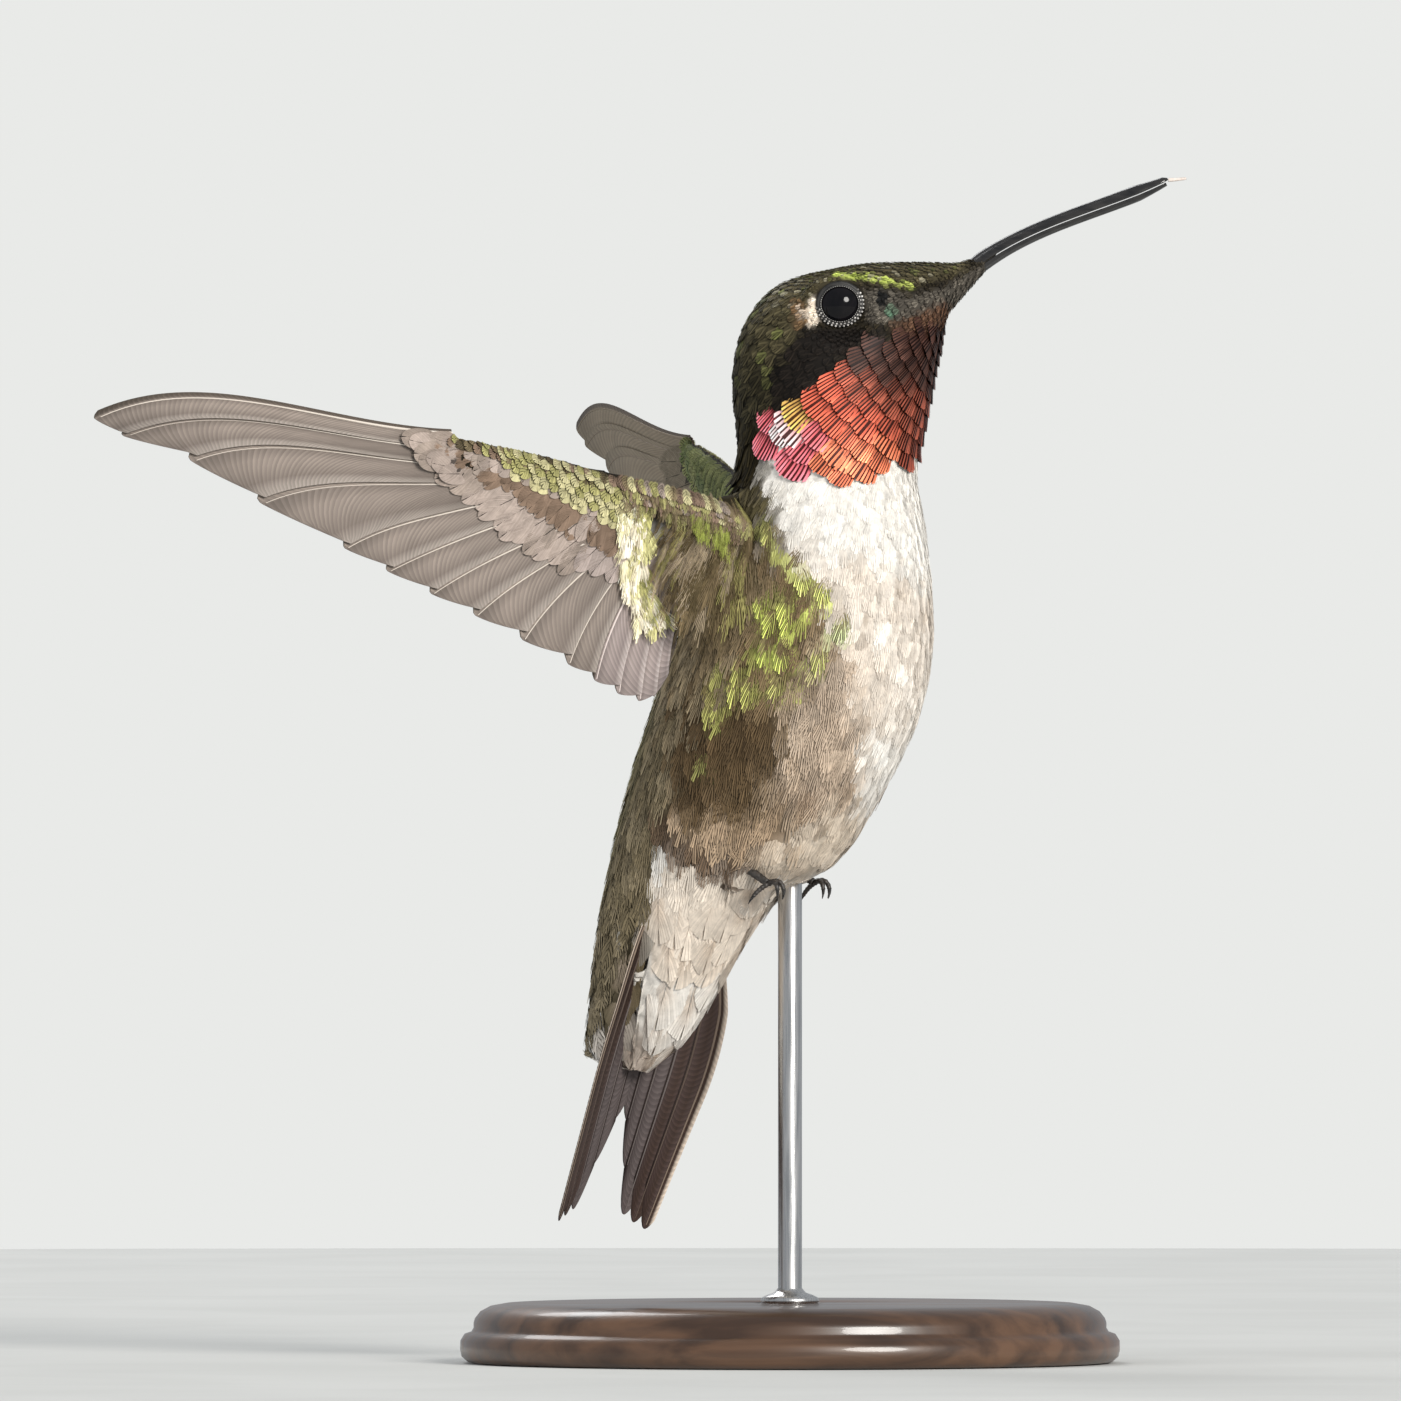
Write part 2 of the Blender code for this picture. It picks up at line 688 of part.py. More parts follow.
def main():
    clear_scene()
    bird = collection("ruby_throated_hummingbird")
    tools = collection("cutters", hidden=True)
    make_body(bird, tools)
    make_eyes(bird)
    make_bill(bird)
    make_wings(bird)
    make_tail(bird)
    make_legs(bird, tools)
    make_stand(bird, tools)


main()
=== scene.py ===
"""Ruby-throated hummingbird on its display stand: skin, feathers, bill, eyes and finishes.

Shapes are worked out in millimetres in the frame's own axes: +Z up, the rod on the z axis, the
bill towards +X and the bird's right side towards -Y. Meshes are written in metres.
"""

import logging
from collections.abc import Callable, Sequence
from dataclasses import dataclass, field, replace
from enum import Enum
from functools import cache, cached_property
from math import cos, pi, radians, sin, tan

import bmesh
import bpy
import numpy as np
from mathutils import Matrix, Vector
from mathutils.bvhtree import BVHTree

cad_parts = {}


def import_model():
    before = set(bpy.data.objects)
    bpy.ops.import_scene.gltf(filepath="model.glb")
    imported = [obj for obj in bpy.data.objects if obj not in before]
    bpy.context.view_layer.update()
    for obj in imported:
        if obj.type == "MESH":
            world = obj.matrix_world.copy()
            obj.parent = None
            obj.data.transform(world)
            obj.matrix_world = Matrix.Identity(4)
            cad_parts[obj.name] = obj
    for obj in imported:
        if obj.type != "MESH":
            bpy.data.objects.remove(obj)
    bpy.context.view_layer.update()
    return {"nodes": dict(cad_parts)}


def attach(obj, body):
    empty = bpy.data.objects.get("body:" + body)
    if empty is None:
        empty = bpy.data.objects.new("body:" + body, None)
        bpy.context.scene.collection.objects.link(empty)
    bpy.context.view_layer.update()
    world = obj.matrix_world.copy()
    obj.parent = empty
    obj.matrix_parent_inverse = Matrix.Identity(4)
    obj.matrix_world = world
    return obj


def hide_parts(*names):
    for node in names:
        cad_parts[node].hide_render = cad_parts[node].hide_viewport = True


MM = 0.001
UP = np.array((0.0, 0.0, 1.0))
LOG = logging.getLogger("hummingbird")
Array = np.ndarray
Colour = tuple[float, float, float]
Material = bpy.types.Material


class Side(Enum):
    """Which side of the bird a paired piece belongs to."""

    RIGHT = 1
    LEFT = -1

    @property
    def word(self) -> str:
        """Lower-case name used in piece names."""
        return self.name.lower()


class Face(Enum):
    """Which face of a wing: the lining below or the back above."""

    UNDER = 1
    UPPER = -1

    def unwrap(self, flat: Array) -> Array:
        """Places on the unwrap of a wing's span and chord."""
        return vec(0.05, 0.25 + 0.5 * (self is Face.UPPER)) + flat / 60


# ---------- small maths


def mix(a, b, t):
    """Blend from a to b as t goes from 0 to 1."""
    return a + (b - a) * t


def smooth(low: float, high: float, x: Array) -> Array:
    """Smooth step from 0 at low to 1 at high."""
    t = np.clip((np.asarray(x, float) - low) / (high - low), 0, 1)
    return t * t * (3 - 2 * t)


def unit(v: Array) -> Array:
    """Vectors scaled to length one along the last axis."""
    return v / np.maximum(np.linalg.norm(v, axis=-1, keepdims=True), 1e-9)


def vec(*values: float) -> Array:
    """Array of floats."""
    return np.array(values, float)


def along(way: Array, normal: Array) -> Array:
    """Directions turned to run along a surface with these normals."""
    return unit(way - normal * (way * normal).sum(1, keepdims=True))


def inside_by(outline: Sequence, p: Array) -> Array:
    """Distance into a flat outline.

    Args:
        outline: corners of the outline.
        p: places, one to a row.

    Returns:
        Distance to the edge, above 0 inside and below 0 outside.
    """
    a = np.asarray(outline, float)
    b = np.roll(a, -1, 0)
    edge = b - a
    off = p[:, None] - a
    t = np.clip((off * edge).sum(-1) / (edge * edge).sum(-1), 0, 1)
    gap = np.linalg.norm(off - t[..., None] * edge, axis=-1).min(1)
    spans = (a[:, 1] > p[:, None, 1]) != (b[:, 1] > p[:, None, 1])
    rise = np.where(edge[:, 1] == 0, 1e-9, edge[:, 1])
    ahead = a[:, 0] + edge[:, 0] * (p[:, None, 1] - a[:, 1]) / rise > p[:, None, 0]
    return np.where((spans & ahead).sum(1) % 2 == 1, gap, -gap)


def points_at(marks: Array, walk: Array, line: Array) -> Array:
    """Points of a line at distances along it, where walk is the distance of each corner."""
    return np.stack([np.interp(marks, walk, line[:, k]) for k in range(line.shape[1])], -1)


def distances(line: Array) -> Array:
    """Distance of each corner of a line from its start."""
    return np.r_[0, np.cumsum(np.linalg.norm(np.diff(line, axis=0), axis=1))]


def turns(count: int) -> Array:
    """Angles of places evenly round a circle."""
    return np.linspace(0, 2 * pi, count, endpoint=False)


def oval(x: float, z: float, wide: float, high: float) -> tuple:
    """Outline of an oval with the given half sizes."""
    return tuple((x + wide * cos(a), z + high * sin(a)) for a in turns(8))


def grid_faces(rows: int, cols: int, step: int = 1, flip: bool = False) -> Array:
    """Faces between rows of points.

    Args:
        rows: number of rows.
        cols: points to a row.
        step: 1 for one sheet, 2 for a strip between each pair of rows.
        flip: whether the faces look the other way.

    Returns:
        Corner numbers, four to a face.
    """
    k = np.arange(0, rows - 1, step)[:, None] * cols + np.arange(cols - 1)[None]
    faces = np.stack([k, k + 1, k + 1 + cols, k + cols], -1).reshape(-1, 4)
    return faces[:, ::-1] if flip else faces


# ---------- the bird's axes


@dataclass(frozen=True)
class Stance:
    """Directions and landmarks of the pose, the same as in the solid parts."""

    trunk_yaw: float = radians(20.0)
    neck_x: float = 2.7
    shoulder: tuple[float, float, float] = (5.0, 3.9, 56.5)
    wing_sweep: float = radians(33.2)
    wing_span: float = 52.0
    wing_camber: float = 0.9
    wing_bend: float = 1.6
    tail_yaw: float = radians(38.0)
    tail_lean: float = radians(15.0)
    tail_root: tuple[float, float] = (-7.7, 29.0)
    tail_arch: float = 0.035
    crest: tuple[float, float] = (13.8, 73.95)
    # The middle line of head, trunk and tail coverts, as (x, z) from the bill's root back.
    spine: tuple = ((11.3, 72.2), (9.0, 71.0), (6.5, 69.8), (4.4, 68.6), (3.2, 66.0), (2.6, 63.0),
        (2.6, 60.0), (2.2, 56.0), (1.5, 50.0), (-0.1, 44.0), (-2.3, 38.6), (-4.2, 34.3), (-6.4, 31.6),
        (-7.4, 29.2), (-8.9, 25.2), (-10.2, 21.7), (-11.7, 19.6))

    @property
    def neck_y(self) -> float:
        """Side offset of the head's middle plane."""
        return -tan(self.trunk_yaw) * self.neck_x

    @property
    def forward(self) -> Array:
        """Out of the breast, level."""
        return vec(cos(self.trunk_yaw), -sin(self.trunk_yaw), 0)

    @property
    def right(self) -> Array:
        """Out of the bird's right flank, level."""
        return vec(-sin(self.trunk_yaw), -cos(self.trunk_yaw), 0)

    @property
    def parting(self) -> Array:
        """Where the face's feathers part, at the end of the sleeve round the bill."""
        return vec(self.crest[0], self.neck_y, self.crest[1])

    def across(self, p: Array) -> tuple[Array, Array]:
        """Direction out of the right side, and a point on the middle plane, at each height."""
        head = smooth(56, 61, p[:, 2])[:, None]
        tail = 1 - smooth(26, 34, p[:, 2])[:, None]
        hind = vec(-sin(self.tail_yaw), -cos(self.tail_yaw), 0)
        axis = mix(self.right[None], vec(0, -1, 0)[None], head)
        axis = unit(mix(axis, hind[None], tail))
        x = self.tail_root[0]
        base = head * vec(0, self.neck_y, 0) + tail * vec(x, -tan(self.trunk_yaw) * x, 0)
        return axis, base

    def folded(self, p: Array) -> Array:
        """Points with those of the bird's left side mirrored to its right."""
        axis, base = self.across(p)
        off = ((p - base) * axis).sum(1)
        return p - (2 * np.minimum(off, 0))[:, None] * axis

    def profile(self, p: Array) -> Array:
        """Points as the side view of the right side shows them: (x, z)."""
        return self.folded(p)[:, (0, 2)]

    def body_place(self, p: Array) -> tuple[Array, Array]:
        """Place on the body's unwrap.

        Args:
            p: points, one to a row.

        Returns:
            Share of the way down the middle line, and the turn round it, which is 0 down the
            breast, positive on the right and pi on the back.
        """
        line = np.array([(x, -tan(self.trunk_yaw) * min(x, self.neck_x), z) for x, z in self.spine])
        a, b = line[:-1], line[1:]
        edge = b - a
        off = p[:, None] - a
        t = np.clip((off * edge).sum(-1) / (edge * edge).sum(-1), 0, 1)
        q = off - t[..., None] * edge
        k = np.linalg.norm(q, axis=-1).argmin(1)
        row = np.arange(len(p))
        axis, _ = self.across(p)
        front = np.cross(axis, unit(edge)[k])
        out = q[row, k]
        turn = np.arctan2((axis * out).sum(1), (front * out).sum(1))
        return (k + t[row, k]) / len(a), turn

    def body_unwrap(self, p: Array) -> Array:
        """Places on the unwrap: the turn round the body, and the share of the way down it."""
        share, turn = self.body_place(p)
        return np.stack([0.5 + turn / (2 * pi), share], -1)

    def wing_axes(self, side: Side) -> tuple[Array, Array, Array]:
        """Out along the wing, down its chord, and out of its underside."""
        s = side.value
        out = self.right * s * cos(self.wing_sweep) - self.forward * sin(self.wing_sweep)
        under = self.forward * cos(self.wing_sweep) + self.right * s * sin(self.wing_sweep)
        return out, -UP, under

    def wing_root(self, side: Side) -> Array:
        """Middle of the shoulder joint."""
        back, out, height = self.shoulder
        root = self.forward * (2.34 / cos(self.trunk_yaw) - back) + self.right * side.value * out
        return root + height * UP

    def wing_place(self, side: Side, span: Array, chord: Array, above: Array) -> Array:
        """World places of wing coordinates, bent back as the feathers bend.

        Args:
            side: which wing.
            span: distances out from the shoulder.
            chord: distances down from the shoulder.
            above: distances out of the underside.

        Returns:
            Points, with x, y, z on the last axis.
        """
        out, down, under = self.wing_axes(side)
        sag = self.wing_bend * (np.maximum(span, 0) / self.wing_span) ** 2
        return (self.wing_root(side) + np.asarray(span)[..., None] * out + np.asarray(chord)[..., None]
            * down + (above - sag)[..., None] * under)

    def wing_coords(self, side: Side, p: Array) -> Array:
        """Span and chord of world points."""
        out, down, _ = self.wing_axes(side)
        q = p - self.wing_root(side)
        return np.stack([q @ out, q @ down], -1)

    def leading_edge(self, span: float) -> float:
        """Chord place of the wing's front edge."""
        t = span / self.wing_span
        return -0.7 - 12.44 * t + 5.48 * t * t

    def tail_axes(self) -> tuple[Array, Array, Array]:
        """Down the tail, out to its right, and out of its underside."""
        lean = tan(self.tail_lean)
        along = unit(vec(-lean, lean * tan(self.trunk_yaw), -1))
        right = vec(-sin(self.tail_yaw), -cos(self.tail_yaw), 0)
        right = unit(right - along * (right @ along))
        under = np.cross(right, along)
        return along, right, under if under[0] > 0 else -under

    def tail_place(self, along: Array, right: Array, under: Array) -> Array:
        """World places of tail coordinates, on the tail's arch."""
        a, r, u = self.tail_axes()
        x, z = self.tail_root
        high = np.asarray(under + self.tail_arch * right * right)
        return (vec(x, -tan(self.trunk_yaw) * x, z) + np.asarray(along)[..., None] * a
            + np.asarray(right)[..., None] * r + high[..., None] * u)


STANCE = Stance()


# ---------- shader nodes


class Wires:
    """Adds and joins the nodes of one material or node group."""

    def __init__(self, tree: bpy.types.NodeTree) -> None:
        """Work on a node tree."""
        self.tree = tree

    def feed(self, socket: bpy.types.NodeSocket, value: object) -> None:
        """Join an output to an input, or set the input's own value."""
        if isinstance(value, bpy.types.NodeSocket):
            self.tree.links.new(value, socket)
        else:
            socket.default_value = value

    def node(self, kind: str, sockets: dict | None = None, **settings: object) -> bpy.types.Node:
        """Add a node.

        Args:
            kind: the node's type, without its ShaderNode prefix.
            sockets: values or outputs for its inputs, by name or number.
            settings: the node's own settings.

        Returns:
            The node.
        """
        made = self.tree.nodes.new("ShaderNode" + kind)
        for name, value in settings.items():
            setattr(made, name, value)
        for name, value in (sockets or {}).items():
            self.feed(made.inputs[name], value)
        return made

    def maths(self, operation: str, *terms: object) -> bpy.types.NodeSocket:
        """Output of a Math node on the terms."""
        return self.node("Math", dict(enumerate(terms)), operation=operation).outputs[0]

    def group(self, tree: bpy.types.NodeTree, **sockets: object) -> bpy.types.Node:
        """Place a shared group with its inputs."""
        return self.node("Group", sockets, node_tree=tree)


class SharedNodes:
    """Node groups that several finishes use, each built once."""

    @staticmethod
    def start(name: str, inputs: dict[str, str], outputs: dict[str, str]) -> tuple:
        """Start a group.

        Args:
            name: the group's name.
            inputs: kind of each input by name: Float, Color or Vector.
            outputs: kind of each output by name.

        Returns:
            Its wires, the outputs of its input node, and the inputs of its output node.
        """
        tree = bpy.data.node_groups.new(name, "ShaderNodeTree")
        for way, sockets in (("INPUT", inputs), ("OUTPUT", outputs)):
            for label, kind in sockets.items():
                tree.interface.new_socket(name=label, in_out=way, socket_type="NodeSocket" + kind)
        given, result = tree.nodes.new("NodeGroupInput"), tree.nodes.new("NodeGroupOutput")
        return Wires(tree), given.outputs, result.inputs

    @staticmethod
    @cache
    def mottling() -> bpy.types.NodeTree:
        """Colour made lighter and darker in patches; Scale is in patches a metre."""
        wires, given, result = SharedNodes.start("mottling", {"Color": "Color", "Scale": "Float",
            "Amount": "Float"}, {"Color": "Color", "Mask": "Float"})
        place = wires.node("TexCoord").outputs["Object"]
        noise = wires.node("TexNoise", {"Vector": place, "Scale": given["Scale"], "Detail": 4.0,
            "Roughness": 0.6}).outputs["Fac"]
        swing = wires.maths("MULTIPLY", wires.maths("SUBTRACT", noise, 0.5), given["Amount"])
        gain = wires.maths("MULTIPLY_ADD", swing, 4.0, 1.0)
        shaded = wires.node("VectorMath", {0: given["Color"], "Scale": gain}, operation="SCALE")
        wires.feed(result["Color"], shaded.outputs[0])
        wires.feed(result["Mask"], noise)
        return wires.tree

    @staticmethod
    @cache
    def grain() -> bpy.types.NodeTree:
        """One colour going to another in drawn-out noise; Stretch pulls it along an axis."""
        wires, given, result = SharedNodes.start("grain", {"Dark": "Color", "Light": "Color",
            "Stretch": "Vector", "Scale": "Float", "Low": "Float", "High": "Float"},
            {"Color": "Color", "Mask": "Float"})
        place = wires.node("TexCoord").outputs["Object"]
        drawn = wires.node("VectorMath", {0: place, 1: given["Stretch"]}, operation="MULTIPLY")
        noise = wires.node("TexNoise", {"Vector": drawn.outputs[0], "Scale": given["Scale"], "Detail": 6.0,
            "Distortion": 0.6}).outputs["Fac"]
        mask = wires.node("MapRange", {"Value": noise, "From Min": given["Low"],
            "From Max": given["High"]}).outputs[0]
        blend = wires.node("Mix", {"Factor": mask, 6: given["Dark"], 7: given["Light"]}, data_type="RGBA")
        wires.feed(result["Color"], blend.outputs[2])
        wires.feed(result["Mask"], mask)
        return wires.tree


@dataclass(frozen=True)
class Finish:
    """A finish and its plain settings."""

    name: str
    roughness: float = 0.6
    specular: float = 0.5
    coat: float = 0.0
    metallic: float = 0.0

    def start(self) -> tuple[Material, Wires, bpy.types.Node]:
        """Make the material with its plain settings, its wires and its shader."""
        made = bpy.data.materials.new(self.name)
        made.use_nodes = True
        shader = made.node_tree.nodes["Principled BSDF"]
        for label, value in (("Roughness", self.roughness), ("Specular IOR Level", self.specular),
                ("Coat Weight", self.coat), ("Coat Roughness", 0.06), ("Metallic", self.metallic)):
            shader.inputs[label].default_value = value
        return made, Wires(made.node_tree), shader


@dataclass(frozen=True)
class PlumageFinish(Finish):
    """Feathers that carry their markings on the mesh, with the gloss as the alpha."""

    scale: float = 1500.0
    amount: float = 0.2
    gloss: float = 0.75
    shine: float = 0.38

    def make(self) -> Material:
        """Build the material."""
        made, wires, shader = self.start()
        marks = wires.node("Attribute", attribute_name="Plumage")
        broken = wires.group(SharedNodes.mottling(), Color=marks.outputs["Color"], Scale=self.scale,
            Amount=self.amount)
        wires.feed(shader.inputs["Base Color"], broken.outputs["Color"])
        wires.feed(shader.inputs["Metallic"], wires.maths("MULTIPLY", marks.outputs["Alpha"], self.gloss))
        rough = wires.node("MapRange", {"Value": marks.outputs["Alpha"], "To Min": self.roughness,
            "To Max": self.shine})
        wires.feed(shader.inputs["Roughness"], rough.outputs[0])
        return made


@dataclass(frozen=True)
class GrainFinish(Finish):
    """A hard surface with two colours in the grain and a fine relief."""

    dark: Colour = (0.02, 0.02, 0.02)
    light: Colour = (0.04, 0.035, 0.03)
    stretch: Colour = (1.0, 1.0, 1.0)
    scale: float = 900.0
    relief: float = 0.01
    spread: tuple[float, float] = (0.35, 0.65)

    def make(self) -> Material:
        """Build the material."""
        made, wires, shader = self.start()
        grain = wires.group(SharedNodes.grain(), Dark=(*self.dark, 1), Light=(*self.light, 1),
            Stretch=self.stretch, Scale=self.scale, Low=self.spread[0], High=self.spread[1])
        wires.feed(shader.inputs["Base Color"], grain.outputs["Color"])
        rough = wires.node("MapRange", {"Value": grain.outputs["Mask"], "To Min": max(self.roughness - 0.05,
            0.02), "To Max": self.roughness + 0.06})
        wires.feed(shader.inputs["Roughness"], rough.outputs[0])
        bump = wires.node("Bump", {"Height": grain.outputs["Mask"], "Strength": 0.6, "Distance": self.relief
            * MM})
        wires.feed(shader.inputs["Normal"], bump.outputs["Normal"])
        return made


# ---------- writing meshes


def link(name: str, data: bpy.types.ID) -> bpy.types.Object:
    """Put new data in the scene as an object."""
    made = bpy.data.objects.new(name, data)
    bpy.context.scene.collection.objects.link(made)
    return made


def paint(mesh: bpy.types.Mesh, colours: Array) -> None:
    """Write the plumage's colour and gloss at each point."""
    marks = mesh.color_attributes.new("Plumage", "FLOAT_COLOR", "POINT")
    marks.data.foreach_set("color", colours.astype(np.float32).ravel())


def rows_of(items: bpy.types.bpy_prop_collection, name: str, kind: type = float) -> Array:
    """Values of one property of a mesh's elements, three to a row."""
    values = np.empty(len(items) * 3, kind)
    items.foreach_get(name, values)
    return values.reshape(-1, 3)


def place_piece(name: str, mesh: bpy.types.Mesh, material: Material, slot: str,
        *nodes: str) -> bpy.types.Object:
    """Link a mesh as a piece of the one body.

    Args:
        name: the piece's name.
        mesh: its mesh, in metres.
        material: its finish.
        slot: the record's material slot; not used.
        nodes: solid parts it replaces.

    Returns:
        The new object.
    """
    mesh.materials.append(material)
    made = link(name, mesh)
    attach(made, "root")
    if nodes:
        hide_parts(*nodes)
    LOG.info("%s: %d triangles", name, sum(len(p.vertices) - 2 for p in mesh.polygons))
    return made


@dataclass
class Sheaf:
    """Gathers the faces, colours and places of many feathers into one piece."""

    name: str
    points: list[Array] = field(default_factory=list)
    faces: list[Array] = field(default_factory=list)
    colours: list[Array] = field(default_factory=list)
    unwrap: list[Array] = field(default_factory=list)
    count: int = 0

    def add(self, points: Array, faces: Array, colours: Array, unwrap: Array) -> None:
        """Add faces of four corners.

        Args:
            points: places in millimetres, (n, 3).
            faces: corner numbers among these points, (m, 4).
            colours: linear colour and gloss of each point, (n, 4).
            unwrap: place of each point on the unwrap, (n, 2).
        """
        self.points.append(points)
        self.faces.append(faces + self.count)
        self.colours.append(colours)
        self.unwrap.append(unwrap)
        self.count += len(points)

    def write(self, material: Material, slot: str, *nodes: str) -> bpy.types.Object:
        """Make the piece; the arguments are those of place_piece."""
        points = np.concatenate(self.points) * MM
        faces = np.concatenate(self.faces).astype(np.int32)
        mesh = bpy.data.meshes.new(self.name)
        mesh.vertices.add(len(points))
        mesh.vertices.foreach_set("co", points.astype(np.float32).ravel())
        mesh.loops.add(faces.size)
        mesh.loops.foreach_set("vertex_index", faces.ravel())
        mesh.polygons.add(len(faces))
        mesh.polygons.foreach_set("loop_start", np.arange(0, faces.size, 4, dtype=np.int32))
        layer = mesh.uv_layers.new(name="OFBake")
        places = np.clip(np.concatenate(self.unwrap), 0.002, 0.998)[faces.ravel()]
        layer.data.foreach_set("uv", places.astype(np.float32).ravel())
        paint(mesh, np.clip(np.concatenate(self.colours), 0, 1))
        mesh.update(calc_edges=True)
        mesh.polygons.foreach_set("use_smooth", np.ones(len(faces), bool))
        return place_piece(self.name, mesh, material, slot, *nodes)


def bridge(bm: bmesh.types.BMesh, rings: Sequence[Array], closed: bool) -> tuple[list, list]:
    """Join rings of points with faces.

    Args:
        bm: where they go.
        rings: rings of equal count.
        closed: whether the last ring joins the first.

    Returns:
        The rings' vertices and the faces.
    """
    rows = [[bm.verts.new(p) for p in ring] for ring in rings]
    pairs = zip(rows, rows[1:] + rows[:1] * closed)
    return rows, [bm.faces.new((a[i], a[(i + 1) % len(a)], b[(i + 1) % len(a)], b[i])) for a, b in pairs
        for i in range(len(a))]


@dataclass
class Solid:
    """Closed lofts and balls gathered into one piece."""

    name: str
    bm: bmesh.types.BMesh = field(default_factory=bmesh.new)

    def loft(self, rings: Sequence[Array]) -> None:
        """Add a closed body through rings of equal count."""
        rows, _ = bridge(self.bm, rings, False)
        for row, ring in ((rows[0], rings[0]), (rows[-1], rings[-1])):
            middle = self.bm.verts.new(np.mean(ring, axis=0))
            for i in range(len(row)):
                self.bm.faces.new((row[i], row[(i + 1) % len(row)], middle))

    def tube(self, path: Array, radii: Sequence[float], sides: int = 10) -> None:
        """Add a round limb.

        Args:
            path: its middle line, (n, 3).
            radii: its radius at each place.
            sides: points round it.
        """
        ahead = unit(np.gradient(path, axis=0))
        side = np.cross(ahead, UP)
        side = unit(np.where(np.linalg.norm(side, axis=1, keepdims=True) < 0.2,
            np.cross(ahead, vec(1, 0, 0)), side))
        over = np.cross(side, ahead)
        turn = turns(sides)[:, None]
        self.loft([path[k] + radii[k] * (side[k] * np.cos(turn) + over[k] * np.sin(turn))
            for k in range(len(path))])

    def balls(self, centres: Array, radius: float) -> None:
        """Add small round beads."""
        for centre in centres:
            made = bmesh.ops.create_icosphere(self.bm, subdivisions=1, radius=radius)
            bmesh.ops.translate(self.bm, vec=Vector(centre), verts=made["verts"])

    def write(self, material: Material, slot: str, *nodes: str) -> bpy.types.Object:
        """Make the piece; the arguments are those of place_piece."""
        bmesh.ops.recalc_face_normals(self.bm, faces=self.bm.faces)
        bmesh.ops.scale(self.bm, vec=(MM, MM, MM), verts=self.bm.verts)
        for face in self.bm.faces:
            face.smooth = True
        mesh = bpy.data.meshes.new(self.name)
        self.bm.to_mesh(mesh)
        self.bm.free()
        return place_piece(self.name, mesh, material, slot, *nodes)


# ---------- markings


@dataclass(frozen=True)
class Patch:
    """A soft-edged area of colour, as the bird's right side shows it to the side view."""

    outline: tuple
    colour: Colour
    gloss: float = 0.0
    soft: float = 0.5
    strength: float = 1.0

    def over(self, colour: Array, profile: Array, share: float | Array = 1.0) -> Array:
        """Colours with this patch's laid over them.

        Args:
            colour: colour and gloss of the points.
            profile: their places in the side view.
            share: further share of the patch, for each point.

        Returns:
            New colours and gloss.
        """
        depth = inside_by(self.outline, profile)
        cover = (self.strength * smooth(-self.soft, self.soft, depth))[:, None] * share
        return mix(colour, vec(*self.colour, self.gloss), cover)


